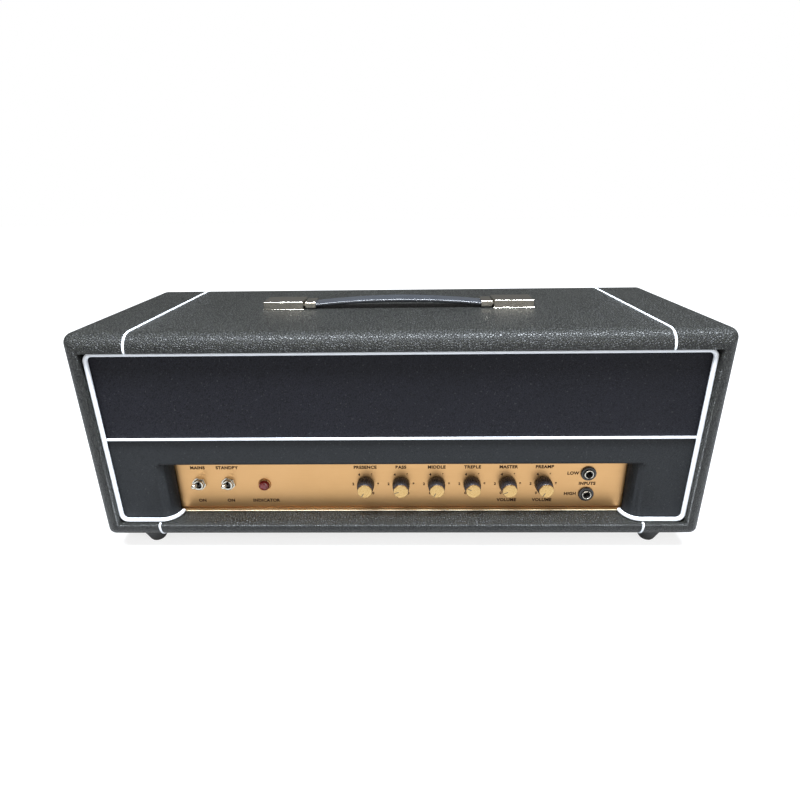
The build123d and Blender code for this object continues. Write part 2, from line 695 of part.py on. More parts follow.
def toggles():
    nodes = {}
    switches = []
    pivot_y = plate_y - TOGGLE_PIVOT
    front = plate_y - TOGGLE_BUSHING_LENGTH
    size_x, size_y, size_z = TOGGLE_BODY
    for name, x in zip(TOGGLE_NAMES, toggle_places()):
        switch = rod_y(x, front, chassis_inside_y, toggle_z, TOGGLE_BUSHING_RADIUS)
        body = Box(size_x, size_y, size_z)
        switch = switch + Pos(x, chassis_inside_y + size_y / 2, toggle_z) * body
        switch = switch - rod_y(x, front, pivot_y + TOGGLE_BALL_RADIUS + 0.6, toggle_z, TOGGLE_BORE_RADIUS)
        pin_x = TOGGLE_BUSHING_RADIUS - 0.6
        switch = switch - rod_x(x - pin_x, x + pin_x, pivot_y, toggle_z, TOGGLE_PIN_RADIUS + CLEARANCE)
        switches.append(switch)
        end = TOGGLE_LEVER_LENGTH
        tip = TOGGLE_LEVER_RADIUS
        outline = [
            (0, -end - tip * 0.5),
            (tip * 0.55, -end - tip * 0.42),
            (tip * 0.9, -end - tip * 0.1),
            (tip, -end + tip * 0.5),
            (TOGGLE_NECK_RADIUS, -TOGGLE_BALL_RADIUS),
            (TOGGLE_NECK_RADIUS, 0),
            (0, 0),
        ]
        bat = Rot(-TOGGLE_TILT, 0, 0) * lathe_y(0, 0, outline)
        pin = rod_x(-pin_x + 0.2, pin_x - 0.2, 0, 0, TOGGLE_PIN_RADIUS)
        lever = Sphere(TOGGLE_BALL_RADIUS) + bat + pin
        nodes[name + "_toggle_lever"] = [Pos(x, pivot_y, toggle_z) * lever]
    nodes["toggle_switches"] = switches
    return nodes


def indicator():
    x = indicator_x
    lens_back = plate_y - INDICATOR_BEZEL
    lens_front = lens_back - INDICATOR_LENGTH
    tube_end = chassis_inside_y + INDICATOR_TUBE_LENGTH
    lens = lathe_y(
        x,
        control_z,
        [
            (0, lens_back),
            (INDICATOR_RADIUS, lens_back),
            (INDICATOR_RADIUS, lens_back - 1.6),
            (INDICATOR_RADIUS * 0.8, lens_front + 0.9),
            (INDICATOR_RADIUS * 0.45, lens_front),
            (0, lens_front),
        ],
    )
    holder = rod_y(x, lens_back, plate_y, control_z, INDICATOR_BEZEL_RADIUS)
    holder = holder + rod_y(x, plate_y, tube_end, control_z, INDICATOR_TUBE_RADIUS)
    clip = rod_y(x, chassis_inside_y, chassis_inside_y + 2.4, control_z, INDICATOR_TUBE_RADIUS + 3)
    return {"indicator_lens": [lens], "indicator_holder": [holder + clip]}


def jack(x, z, mouth_y, outside_y, inside_y):
    """A jack socket and its round nut, with the bore open towards mouth_y."""
    inward = 1 if inside_y > outside_y else -1
    end_y = inside_y + inward * JACK_DEPTH
    half = JACK_BODY / 2
    socket = block(x - half, x + half, inside_y, end_y, z - half, z + half)
    socket = socket + rod_y(x, mouth_y, inside_y, z, JACK_BUSHING_RADIUS)
    socket = socket - rod_y(x, mouth_y, end_y - inward * JACK_END, z, JACK_BORE_RADIUS)
    nut = rod_y(x, outside_y, outside_y - inward * JACK_NUT, z, JACK_NUT_RADIUS)
    past_nut_y = outside_y - inward * 2 * JACK_NUT
    nut = nut - rod_y(x, outside_y + inward, past_nut_y, z, JACK_BUSHING_RADIUS + CLEARANCE)
    return socket, nut


def jacks():
    pairs = [jack(jack_x, z, plate_y - JACK_PROUD, plate_y, chassis_inside_y) for z in jack_z]
    rear_inside = chassis_rear_y - SHEET
    mouth = chassis_rear_y + JACK_PROUD
    pairs += [jack(x, control_z, mouth, chassis_rear_y, rear_inside) for x in speaker_places()]
    sockets = {
        "input_jacks": [pairs[0][0], pairs[1][0]],
        "speaker_jacks": [pairs[2][0], pairs[3][0]],
    }
    return sockets, [nut for _, nut in pairs]


def rear_fittings():
    nodes = {}
    y = chassis_rear_y
    z = control_z
    half_x, half_z = INLET_WIDTH / 2, INLET_HEIGHT / 2
    flange_x, flange_z, flange = INLET_FLANGE[0] / 2, INLET_FLANGE[1] / 2, INLET_FLANGE[2]
    inlet = block(INLET_X - half_x, INLET_X + half_x, y - INLET_DEPTH - INLET_WALL, y, z - half_z, z + half_z)
    inlet = inlet + block(INLET_X - flange_x, INLET_X + flange_x, y, y + flange, z - flange_z, z + flange_z)
    room_x, room_z = half_x - INLET_WALL, half_z - INLET_WALL
    back_y = y - INLET_DEPTH
    inlet = inlet - block(INLET_X - room_x, INLET_X + room_x, back_y, y + flange, z - room_z, z + room_z)
    pin_x, pin_y, pin_z = INLET_PIN
    for i in (-1, 0, 1):
        x = INLET_X + i * INLET_PIN_PITCH
        low = z - pin_z / 2 + (2.0 if i == 0 else -2.0)
        inlet = inlet + block(x - pin_x / 2, x + pin_x / 2, back_y, back_y + pin_y, low, low + pin_z)
    nodes["mains_inlet"] = inlet.solids()
    holders = []
    for name, x in zip(FUSE_NAMES, fuse_places()):
        holder = rod_y(x, y - SHEET - FUSE_BODY_LENGTH, y, z, FUSE_BODY_RADIUS)
        holder = holder + rod_y(x, y, y + FUSE_FLANGE, z, FUSE_FLANGE_RADIUS)
        holder = holder + hexagon_y(x, y - SHEET - 3, y - SHEET, z, 17.0)
        stem_end = y + FUSE_FLANGE - FUSE_STEM
        holders.append(holder - rod_y(x, stem_end - 0.4, y + FUSE_FLANGE, z, FUSE_STEM_RADIUS + CLEARANCE))
        cap_y = y + FUSE_FLANGE + 0.3
        cap = rod_y(x, stem_end, cap_y, z, FUSE_STEM_RADIUS)
        cap = cap + rod_y(x, cap_y, cap_y + FUSE_CAP_LENGTH, z, FUSE_CAP_RADIUS)
        slot = block(x - 5, x + 5, cap_y + FUSE_CAP_LENGTH - 1.5, cap_y + FUSE_CAP_LENGTH, z - 0.7, z + 0.7)
        nodes[name + "_fuse_cap"] = [cap - slot]
    nodes["fuse_holders"] = holders
    bore = SHAFT_RADIUS + CLEARANCE
    inside = y - SHEET
    outline = [
        (bore, y + 2.4),
        (POT_BUSHING_RADIUS, y + 2.4),
        (POT_BUSHING_RADIUS, inside),
        (SELECTOR_BODY_RADIUS, inside),
        (SELECTOR_BODY_RADIUS, inside - SELECTOR_BODY_LENGTH),
        (0, inside - SELECTOR_BODY_LENGTH),
        (0, inside - SHAFT_TAIL - 0.3),
        (bore, inside - SHAFT_TAIL - 0.3),
    ]
    nodes["selector_switch"] = [lathe_y(SELECTOR_X, z, outline)]
    base = y + 3.2
    dial = rod_y(SELECTOR_X, base, base + SELECTOR_LENGTH, z, SELECTOR_RADIUS)
    bar = SELECTOR_RADIUS * 0.28
    keep = block(SELECTOR_X - bar, SELECTOR_X + bar, base + 3, base + SELECTOR_LENGTH, z - 20, z + 20)
    spare = block(SELECTOR_X - 20, SELECTOR_X + 20, base + 3, base + SELECTOR_LENGTH, z - 20, z + 20) - keep
    dial = (dial - spare) + rod_y(SELECTOR_X, inside - SHAFT_TAIL, base + 1, z, SHAFT_RADIUS)
    nodes["impedance_selector"] = [dial]
    return nodes


# ---- on and under the chassis top
def transformer(place, core):
    """A stack of laminations with two windows, and the coil on its middle limb."""
    x, y = place
    width, depth, height = core
    base = chassis_top
    limb = width / 6
    stack = block(x - width / 2, x + width / 2, y - depth / 2, y + depth / 2, base, base + height)
    base_x = width / 2 + CORE_FOOT
    stack = stack + block(x - base_x, x + base_x, y - depth / 2, y + depth / 2, base, base + CORE_FOOT_SHEET)
    window = (base + width / 6, base + height - width / 6)
    for sx in SIDES:
        stack = stack - block(x + sx * limb, x + sx * 2 * limb, y - depth, y + depth, *window)
    gap = COIL_GAP
    coil_x = 2 * limb - gap
    coil_y = depth / 2 + COIL_BULGE
    coil = block(x - coil_x, x + coil_x, y - coil_y, y + coil_y, window[0] + gap, window[1] - gap)
    hole_x = limb + gap
    hole_y = depth / 2 + gap
    coil_hole = block(x - hole_x, x + hole_x, y - hole_y, y + hole_y, base, base + height)
    coil = fillet(coil.edges().filter_by(Axis.Z), COIL_BULGE * 0.5) - coil_hole
    return stack, coil


def tube(x, y, seat, radius, length):
    """A glass bulb with a domed top, hollow, and the anode that stands inside it."""
    dome = radius * 0.45
    shoulder = seat + length - dome
    outer = [
        (radius, seat),
        (radius, shoulder),
        (radius * 0.86, shoulder + dome * 0.55),
        (radius * 0.5, shoulder + dome * 0.92),
    ]
    tip = (0, shoulder + dome)
    thin = GLASS
    inside = [
        (0, shoulder + dome - thin),
        (radius * 0.5 - thin * 0.6, shoulder + dome * 0.92 - thin),
        (radius * 0.86 - thin, shoulder + dome * 0.55 - thin * 0.8),
        (radius - thin, shoulder - thin * 0.4),
        (radius - thin, seat),
    ]
    glass = lathe_z(x, y, outer + [tip] + inside)
    anode_x, anode_y = radius * 0.62, radius * 0.42
    anode = block(x - anode_x, x + anode_x, y - anode_y, y + anode_y, seat + 5, shoulder - 4)
    anode = fillet(anode.edges().filter_by(Axis.Z), anode_y * 0.6)
    mica = rod_z(x, y, shoulder - 4, shoulder - 3, radius - thin)
    stalk = rod_z(x, y, seat, seat + 5, radius * 0.25)
    return glass, joined([anode, mica, stalk])


def tubes():
    glass = []
    anodes = []
    bases = []
    sockets = []
    ring = chassis_top + SOCKET_RING
    socket_low = chassis_top - SHEET - SOCKET_DEPTH
    for x, y in POWER_TUBE_PLACES:
        seat = ring + TUBE_BASE_LENGTH
        bases.append(rod_z(x, y, ring, seat, TUBE_BASE_RADIUS))
        bulb, anode = tube(x, y, seat, POWER_TUBE_RADIUS, POWER_TUBE_LENGTH)
        glass.append(bulb)
        anodes.append(anode)
        socket = rod_z(x, y, chassis_top, ring, TUBE_BASE_RADIUS + 3)
        sockets.append(socket + rod_z(x, y, socket_low, chassis_top, TUBE_BASE_RADIUS - 2))
    for x, y in PREAMP_TUBE_PLACES:
        bulb, anode = tube(x, y, ring, PREAMP_TUBE_RADIUS, PREAMP_TUBE_LENGTH)
        glass.append(bulb)
        anodes.append(anode)
        socket = rod_z(x, y, chassis_top, ring, PREAMP_TUBE_RADIUS + 2)
        sockets.append(socket + rod_z(x, y, socket_low, chassis_top, PREAMP_TUBE_RADIUS - 1))
    return {"tube_glass": glass, "tube_anodes": anodes, "tube_bases": bases, "tube_sockets": sockets}


def standoff_places():
    x, y = BOARD_PLACE
    dx, dy = BOARD_SIZE[0] / 2 - 8, BOARD_SIZE[1] / 2 - 7
    return [(x + sx * dx, y + sy * dy) for sx in SIDES for sy in SIDES]


def circuit_board():
    x, y = BOARD_PLACE
    dx, dy, thick = BOARD_SIZE
    board_top = chassis_top - BOARD_DROP
    underside = board_top - thick
    board = block(x - dx / 2, x + dx / 2, y - dy / 2, y + dy / 2, underside, board_top)
    posts = []
    for px, py in standoff_places():
        posts.append(rod_z(px, py, board_top, chassis_top - SHEET, STANDOFF_RADIUS))
        posts[-1] = posts[-1] + rod_z(px, py, chassis_top - SHEET, chassis_top + 1, 1.5)
    capacitors = []
    resistors = []
    rows = 11
    for i in range(rows):
        px = x - dx / 2 + 24 + i * (dx - 48) / (rows - 1)
        if i % 2 == 0:
            body = rod_z(0, 0, -12, 12, 4.5)
            capacitors.append(Pos(px, y, underside - 4.5) * Rot(90, 0, 0) * body)
        else:
            for side in SIDES:
                body = rod_z(0, 0, -5, 5, 2.0)
                resistors.append(Pos(px, y + side * 15, underside - 2.0) * Rot(90, 0, 0) * body)
    return {"turret_board": [board] + posts, "board_components": capacitors + resistors}


def chassis_parts():
    nodes = {}
    coils = []
    for name, place, core in (
        ("power_transformer", POWER_PLACE, POWER_CORE),
        ("output_transformer", OUTPUT_PLACE, OUTPUT_CORE),
        ("choke", CHOKE_PLACE, CHOKE_CORE),
    ):
        stack, coil = transformer(place, core)
        nodes[name] = [stack]
        coils.append(coil)
    nodes["transformer_windings"] = coils
    cans = []
    for x, y in CAPACITOR_PLACES:
        can = rod_z(x, y, chassis_top, chassis_top + CAPACITOR_LENGTH, CAPACITOR_RADIUS)
        cans.append(fillet(can.edges().sort_by(Axis.Z)[-1], 2))
    nodes["filter_capacitors"] = cans
    nodes.update(tubes())
    nodes.update(circuit_board())
    return nodes


# ---- handle
def strap():
    """The strap's bow: a lens-shaped section swept along an arc by slices of one bent block."""
    half = strap_end_x - STRAP_GAP
    low = top + FERRULE_LIFT + (FERRULE_THICKNESS - STRAP_THICKNESS) / 2
    y = STRAP_WIDTH / 2
    crown = (0, -y, low + STRAP_RISE)
    bottom = ThreePointArc((-half, -y, low), crown, (half, -y, low))
    over = ThreePointArc(
        (half, -y, low + STRAP_THICKNESS),
        (0, -y, low + STRAP_RISE + STRAP_THICKNESS),
        (-half, -y, low + STRAP_THICKNESS),
    )
    ends = [
        Line((half, -y, low), (half, -y, low + STRAP_THICKNESS)),
        Line((-half, -y, low + STRAP_THICKNESS), (-half, -y, low)),
    ]
    outline = make_face([bottom, ends[0], over, ends[1]])
    return extrude(outline, STRAP_WIDTH, dir=(0, 1, 0))


def handle():
    cap_x = (CAP_OUTER_X - CAP_LENGTH, CAP_OUTER_X)
    y = CAP_WIDTH / 2
    sheet = CAP_SHEET
    tongue_z = top + FERRULE_LIFT + (FERRULE_THICKNESS - TONGUE_THICKNESS) / 2
    tongue_y = TONGUE_WIDTH / 2
    gap = TONGUE_CLEARANCE
    cap = block(*cap_x, -y, y, top, top + CAP_HEIGHT)
    rims = cap.edges().filter_by(Axis.Z) + cap.faces().sort_by(Axis.Z)[-1].edges()
    cap = fillet(rims, 0.9)
    room_y = y - sheet
    cap = cap - block(cap_x[0] + sheet, cap_x[1] - sheet, -room_y, room_y, top, top + CAP_HEIGHT - sheet)
    mouth = (tongue_z - gap, tongue_z + TONGUE_THICKNESS + gap)
    cap = cap - block(cap_x[0], cap_x[0] + sheet, -tongue_y - gap, tongue_y + gap, *mouth)
    cap = cap + rod_z(handle_bolt_x, 0, top, top + CAP_HEIGHT - sheet, HANDLE_BOSS_RADIUS)
    cap = cap - rod_z(handle_bolt_x, 0, top, top + CAP_HEIGHT - sheet - 1, HANDLE_BOLT_RADIUS + CLEARANCE)
    low = top + FERRULE_LIFT
    half = FERRULE_WIDTH / 2
    ferrule = block(strap_end_x, ferrule_x, -half, half, low, low + FERRULE_THICKNESS)
    ferrule = fillet(ferrule.edges().filter_by(Axis.X), 2.0)
    tongue_top = tongue_z + TONGUE_THICKNESS
    tongue = block(ferrule_x, ferrule_x + TONGUE_LENGTH, -tongue_y, tongue_y, tongue_z, tongue_top)
    slot_half = HANDLE_BOSS_RADIUS + gap
    slot = block(
        handle_bolt_x - slot_half,
        handle_bolt_x + slot_half + HANDLE_SLIDE,
        -slot_half,
        slot_half,
        tongue_z,
        tongue_z + TONGUE_THICKNESS,
    )
    end = ferrule + (tongue - slot)
    bolt_end = top + CAP_HEIGHT - sheet - 1.5
    bolt = rod_z(handle_bolt_x, 0, ply_roof_z - 1.2, bolt_end, HANDLE_BOLT_RADIUS)
    bolt = bolt + rod_z(handle_bolt_x, 0, ply_roof_z - 1.2, ply_roof_z, 7.0)
    bolt = bolt + hexagon_z(handle_bolt_x, 0, ply_roof_z - 4.7, ply_roof_z - 1.2, 8.0)
    turn = Rot(0, 0, 180)
    return {
        "handle_end_caps": [cap, turn * cap],
        "handle_ferrule_right": [end],
        "handle_ferrule_left": [turn * end],
        "handle_bolts": [bolt, turn * bolt],
        "handle_strap": [strap()],
    }


def main():
    os.makedirs("parts", exist_ok=True)
    nodes = {}
    for make in (
        cabinet,
        seam_piping,
        front_panels,
        front_piping,
        rear_panel,
        feet,
        chassis,
        controls,
        rear_fittings,
        chassis_parts,
        handle,
    ):
        nodes.update(make())
    for name, solids in nodes.items():
        export_step(Compound(children=list(solids)), "parts/" + name + ".step")


main()
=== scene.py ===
"""Looks of the valve guitar amplifier head.

Metres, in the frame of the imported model: -Y is the front, +Z is up.
"""

import json
from math import cos, pi, radians, sin, tau

import bmesh
import bpy
from mathutils import Matrix, Vector

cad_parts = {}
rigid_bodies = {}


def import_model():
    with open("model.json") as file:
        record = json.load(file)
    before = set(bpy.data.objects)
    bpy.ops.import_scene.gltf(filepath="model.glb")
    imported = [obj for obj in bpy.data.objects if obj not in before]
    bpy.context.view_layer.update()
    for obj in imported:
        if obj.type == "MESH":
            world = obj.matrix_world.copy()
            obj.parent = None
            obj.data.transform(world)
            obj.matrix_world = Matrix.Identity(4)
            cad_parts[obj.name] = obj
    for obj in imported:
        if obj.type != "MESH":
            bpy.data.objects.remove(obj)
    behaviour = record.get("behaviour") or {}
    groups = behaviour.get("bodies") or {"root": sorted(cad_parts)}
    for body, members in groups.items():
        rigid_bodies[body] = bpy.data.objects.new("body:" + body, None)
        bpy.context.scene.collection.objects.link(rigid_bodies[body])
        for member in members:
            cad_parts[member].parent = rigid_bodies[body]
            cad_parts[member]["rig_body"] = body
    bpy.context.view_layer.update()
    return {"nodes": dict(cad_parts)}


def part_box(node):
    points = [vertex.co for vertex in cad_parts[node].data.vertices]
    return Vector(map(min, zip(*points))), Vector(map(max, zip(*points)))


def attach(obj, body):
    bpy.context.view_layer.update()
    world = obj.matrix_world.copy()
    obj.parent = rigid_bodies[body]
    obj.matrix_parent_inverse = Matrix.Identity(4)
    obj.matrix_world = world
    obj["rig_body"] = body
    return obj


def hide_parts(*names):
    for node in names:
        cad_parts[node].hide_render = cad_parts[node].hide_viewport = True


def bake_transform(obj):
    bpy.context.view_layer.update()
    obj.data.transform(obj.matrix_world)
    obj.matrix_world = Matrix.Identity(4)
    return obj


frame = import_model()
NODES = frame["nodes"]
MM = 0.001

# ---- sizes of this object's own details
KNOBS = ("presence", "bass", "middle", "treble", "master", "preamp")
KNOB_LABELS = ("PRESENCE", "BASS", "MIDDLE", "TREBLE", "MASTER", "PREAMP")
KNOB_REST = (-150.0, -107.0, -150.0, -63.0, -115.0, -150.0)  # clockwise from the top
FLUTES = 24
PLATE = 2.0 * MM  # thickness of the gold panel
LETTER = 5.3 * MM
SMALL_LETTER = 4.4 * MM
STROKE = 0.25 * MM  # added to each side of a letter's strokes
INK_HEIGHT = 0.06 * MM
DIAL_RADIUS = 14.2 * MM
TOGGLE_TILT = 21.0
TOGGLE_PIVOT = 1.8 * MM


def low(node):
    return Vector(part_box(node)[0])


def high(node):
    return Vector(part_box(node)[1])


def middle(node):
    return (low(node) + high(node)) / 2


PLATE_Y = low("chassis").y - PLATE
CONTROL_Z = middle("shaft_bass").z
TOGGLE_Z = middle("toggle_switches").z
REAR_Y = high("chassis").y


# ---- shader groups shared by the materials
def shader_group(name, inputs, outputs):
    """An empty group with float or vector inputs (name: default) and float outputs."""
    tree = bpy.data.node_groups.new(name, "ShaderNodeTree")
    for socket, default in inputs.items():
        kind = "NodeSocketVector" if default is None else "NodeSocketFloat"
        made = tree.interface.new_socket(name=socket, in_out="INPUT", socket_type=kind)
        if default is not None:
            made.default_value = default
    for socket in outputs:
        tree.interface.new_socket(name=socket, in_out="OUTPUT", socket_type="NodeSocketFloat")
    return tree, tree.nodes.new("NodeGroupInput"), tree.nodes.new("NodeGroupOutput")


def node(tree, kind, settings=None, **sockets):
    """A node with its settings, and its inputs set to values or linked to other nodes' outputs."""
    made = tree.nodes.new(kind)
    for name, value in (settings or {}).items():
        setattr(made, name, value)
    for name, value in sockets.items():
        key = int(name[1:]) if name[0] == "_" else name
        if isinstance(value, bpy.types.NodeSocket):
            tree.links.new(value, made.inputs[key])
        else:
            made.inputs[key].default_value = value
    return made


def calc(tree, operation, *values, clamp=False):
    sockets = {f"_{i}": value for i, value in enumerate(values)}
    return node(tree, "ShaderNodeMath", {"operation": operation, "use_clamp": clamp}, **sockets).outputs[0]


def stretch(tree, value, low_in, high_in, low_out=0.0, high_out=1.0):
    settings = {"interpolation_type": "SMOOTHSTEP"}
    return node(
        tree, "ShaderNodeMapRange", settings, _0=value, _1=low_in, _2=high_in, _3=low_out, _4=high_out
    ).outputs[0]


def grain_group():
    """Pebbled grain of pressed vinyl: rounded cells of one size with creases between them."""
    tree, given, out = shader_group(
        "vinyl_grain", {"Vector": None, "Cell": 0.0016, "Warp": 0.35}, ("Height", "Crease")
    )
    size = calc(tree, "DIVIDE", 1.0, given.outputs["Cell"])
    third = calc(tree, "MULTIPLY", size, 0.45)
    warp = node(tree, "ShaderNodeTexNoise", Vector=given.outputs["Vector"], Scale=third, Detail=2.0)
    push = calc(tree, "MULTIPLY", given.outputs["Warp"], given.outputs["Cell"])
    moved = node(
        tree, "ShaderNodeVectorMath", {"operation": "SUBTRACT"}, _0=warp.outputs["Color"], _1=(0.5, 0.5, 0.5)
    )
    scaled = node(tree, "ShaderNodeVectorMath", {"operation": "SCALE"}, _0=moved.outputs[0], Scale=push)
    where = node(
        tree, "ShaderNodeVectorMath", {"operation": "ADD"}, _0=given.outputs["Vector"], _1=scaled.outputs[0]
    )
    cells = node(
        tree, "ShaderNodeTexVoronoi", {"feature": "DISTANCE_TO_EDGE"}, Vector=where.outputs[0], Scale=size
    )
    crease = stretch(tree, cells.outputs["Distance"], 0.0, 0.22)
    fine_scale = calc(tree, "MULTIPLY", size, 2.6)
    fine = node(tree, "ShaderNodeTexNoise", Vector=given.outputs["Vector"], Scale=fine_scale, Detail=2.0)
    height = calc(tree, "MULTIPLY_ADD", fine.outputs["Fac"], 0.35, crease)
    tree.links.new(height, out.inputs["Height"])
    tree.links.new(calc(tree, "SUBTRACT", 1.0, crease), out.inputs["Crease"])
    return tree


def patches_group():
    """Soft uneven patches, for handling marks, colour and gloss that drift over a surface."""
    inputs = {"Vector": None, "Size": 0.05, "Contrast": 1.0}
    tree, given, out = shader_group("patches", inputs, ("Mask", "Speck"))
    scale = calc(tree, "DIVIDE", 1.0, given.outputs["Size"])
    place = given.outputs["Vector"]
    broad = node(tree, "ShaderNodeTexNoise", Vector=place, Scale=scale, Detail=5.0, Roughness=0.6)
    centred = calc(tree, "SUBTRACT", broad.outputs["Fac"], 0.5)
    mask = calc(tree, "MULTIPLY_ADD", centred, given.outputs["Contrast"], 0.5, clamp=True)
    speck_scale = calc(tree, "MULTIPLY", scale, 22.0)
    specks = node(tree, "ShaderNodeTexNoise", Vector=place, Scale=speck_scale, Detail=1.0)
    tree.links.new(mask, out.inputs["Mask"])
    tree.links.new(stretch(tree, specks.outputs["Fac"], 0.66, 0.74), out.inputs["Speck"])
    return tree


def brushing_group():
    """Fine parallel lines of brushed or rolled metal, long along X and short across."""
    inputs = {"Vector": None, "Line": 0.0004, "Length": 60.0}
    tree, given, out = shader_group("brushing", inputs, ("Line", "Drift"))
    scale = calc(tree, "DIVIDE", 1.0, given.outputs["Line"])
    parts = node(tree, "ShaderNodeSeparateXYZ", Vector=given.outputs["Vector"])
    along = calc(tree, "DIVIDE", parts.outputs["X"], given.outputs["Length"])
    packed = node(tree, "ShaderNodeCombineXYZ", X=along, Y=parts.outputs["Y"], Z=parts.outputs["Z"])
    lines = node(tree, "ShaderNodeTexNoise", Vector=packed.outputs[0], Scale=scale, Detail=2.0)
    drift_scale = calc(tree, "MULTIPLY", scale, 0.03)
    drift = node(tree, "ShaderNodeTexNoise", Vector=packed.outputs[0], Scale=drift_scale, Detail=3.0)
    tree.links.new(lines.outputs["Fac"], out.inputs["Line"])
    tree.links.new(drift.outputs["Fac"], out.inputs["Drift"])
    return tree


GRAIN = grain_group()
PATCHES = patches_group()
BRUSHING = brushing_group()


class Finish:
    """A material whose shader gets constants first and then varying colour, roughness and height."""

    def __init__(self, name, colour, roughness, metallic=0.0, **constants):
        self.material = bpy.data.materials.new(name)
        self.material.use_nodes = True
        self.tree = self.material.node_tree
        self.shader = self.tree.nodes["Principled BSDF"]
        self.colour = colour
        self.set("Base Color", (*colour, 1.0))
        self.set("Roughness", roughness)
        self.set("Metallic", metallic)
        for socket, value in constants.items():
            self.set(socket.replace("_", " ").title().replace("Ior", "IOR"), value)
        self.place = self.tree.nodes.new("ShaderNodeTexCoord").outputs["Object"]

    def set(self, socket, value):
        if isinstance(value, bpy.types.NodeSocket):
            self.tree.links.new(value, self.shader.inputs[socket])
        else:
            self.shader.inputs[socket].default_value = value

    def group(self, tree, **sockets):
        made = self.tree.nodes.new("ShaderNodeGroup")
        made.node_tree = tree
        self.tree.links.new(self.place, made.inputs["Vector"])
        for name, value in sockets.items():
            made.inputs[name].default_value = value
        return made.outputs

    def tint(self, mask, other, base=None):
        """Colour that goes from the base colour to another as the mask goes from 0 to 1."""
        mixed = node(self.tree, "ShaderNodeMix", {"data_type": "RGBA"}, _0=mask)
        start = (*self.colour, 1.0) if base is None else base
        if isinstance(start, bpy.types.NodeSocket):
            self.tree.links.new(start, mixed.inputs[6])
        else:
            mixed.inputs[6].default_value = start
        mixed.inputs[7].default_value = (*other, 1.0)
        self.set("Base Color", mixed.outputs[2])
        return mixed.outputs[2]

    def gloss(self, mask, rough_low, rough_high):
        self.set("Roughness", stretch(self.tree, mask, 0.0, 1.0, rough_low, rough_high))

    def relief(self, height, depth, strength=1.0):
        bump = node(self.tree, "ShaderNodeBump", Height=height, Distance=depth, Strength=strength)
        self.set("Normal", bump.outputs["Normal"])


def plain_finish(name, colour, roughness, metallic=0.0, drift=None, patch=0.02, grain=0.0, **constants):
    """A finish with uneven colour and gloss and, where asked, a fine surface texture."""
    finish = Finish(name, colour, roughness, metallic, **constants)
    marks = finish.group(PATCHES, Size=patch, Contrast=1.6)
    finish.tint(marks["Mask"], drift or tuple(min(1.0, c * 1.35 + 0.004) for c in colour))
    finish.gloss(marks["Mask"], max(0.03, roughness * 0.8), min(1.0, roughness * 1.25))
    if grain:
        fine = node(finish.tree, "ShaderNodeTexNoise", Vector=finish.place, Scale=1.0 / grain, Detail=3.0)
        finish.relief(fine.outputs["Fac"], grain * 0.12)
    return finish.material


# A pressed vinyl finish. The crease colour is painted shade in the grain's creases.
def vinyl_finish(name, colour, crease, cell, depth, roughness, sheen=0.42):
    finish = Finish(name, colour, roughness, 0.0, specular_ior_level=sheen)
    grain = finish.group(GRAIN, Cell=cell, Warp=0.8)
    marks = finish.group(PATCHES, Size=0.06, Contrast=1.8)
    base = finish.tint(marks["Mask"], tuple(c * 1.5 for c in colour))
    # The grain's creases are painted darker than the cells: painted shade.
    crease_shaded = finish.tint(grain["Crease"], crease, base)
    dust_and_crease_shade = finish.tint(calc(finish.tree, "MULTIPLY", marks["Speck"], 0.1), (0.2, 0.2, 0.19), crease_shaded)
    finish.set("Base Color", dust_and_crease_shade)
    rough = calc(finish.tree, "MULTIPLY_ADD", grain["Crease"], 0.2, roughness)
    finish.set("Roughness", calc(finish.tree, "MULTIPLY_ADD", marks["Mask"], 0.08, rough, clamp=True))
    lumps = node(finish.tree, "ShaderNodeTexNoise", Vector=finish.place, Scale=0.4 / cell, Detail=2.0)
    height = calc(finish.tree, "MULTIPLY_ADD", lumps.outputs["Fac"], 0.9, grain["Height"])
    finish.relief(height, depth)
    return finish.material


def gold_finish():
    """Polished gold panel with a faint rolled texture."""
    finish = Finish("gold_plate", (0.585, 0.345, 0.155), 0.4, 1.0)
    brushing = finish.group(BRUSHING, Line=0.0005, Length=90.0)
    marks = finish.group(PATCHES, Size=0.05, Contrast=1.4)
    finish.tint(marks["Mask"], (0.535, 0.31, 0.13))
    finish.set("Roughness", stretch(finish.tree, brushing["Line"], 0.2, 0.8, 0.36, 0.46))
    finish.relief(brushing["Line"], 0.01 * MM)
    return finish.material


def nickel_finish(name="nickel", roughness=0.14):
    finish = Finish(name, (0.66, 0.63, 0.56), roughness, 1.0)
    brushing = finish.group(BRUSHING, Line=0.0003, Length=25.0)
    marks = finish.group(PATCHES, Size=0.012, Contrast=2.0)
    finish.tint(marks["Mask"], (0.5, 0.46, 0.38))
    finish.set("Roughness", stretch(finish.tree, marks["Mask"], 0.0, 1.0, roughness * 0.7, roughness * 1.7))
    finish.relief(brushing["Drift"], 0.02 * MM)
    return finish.material


def spun_finish():
    """Turned gold cap: fine rings about its centre, from the cap's own radius map."""
    finish = Finish("spun_gold", (0.54, 0.36, 0.155), 0.3, 1.0)
    radius = node(finish.tree, "ShaderNodeUVMap", {"uv_map": "turned"}).outputs[0]
    parts = node(finish.tree, "ShaderNodeSeparateXYZ", Vector=radius)
    rings = calc(finish.tree, "SINE", calc(finish.tree, "MULTIPLY", parts.outputs["Y"], 38.0 * tau))
    grit = node(finish.tree, "ShaderNodeTexNoise", Vector=radius, Scale=9.0, Detail=3.0)
    height = calc(finish.tree, "MULTIPLY_ADD", rings, 0.4, grit.outputs["Fac"])
    finish.tint(stretch(finish.tree, grit.outputs["Fac"], 0.35, 0.65), (0.46, 0.29, 0.11))
    finish.gloss(grit.outputs["Fac"], 0.2, 0.38)
    finish.relief(height, 0.02 * MM)
    return finish.material


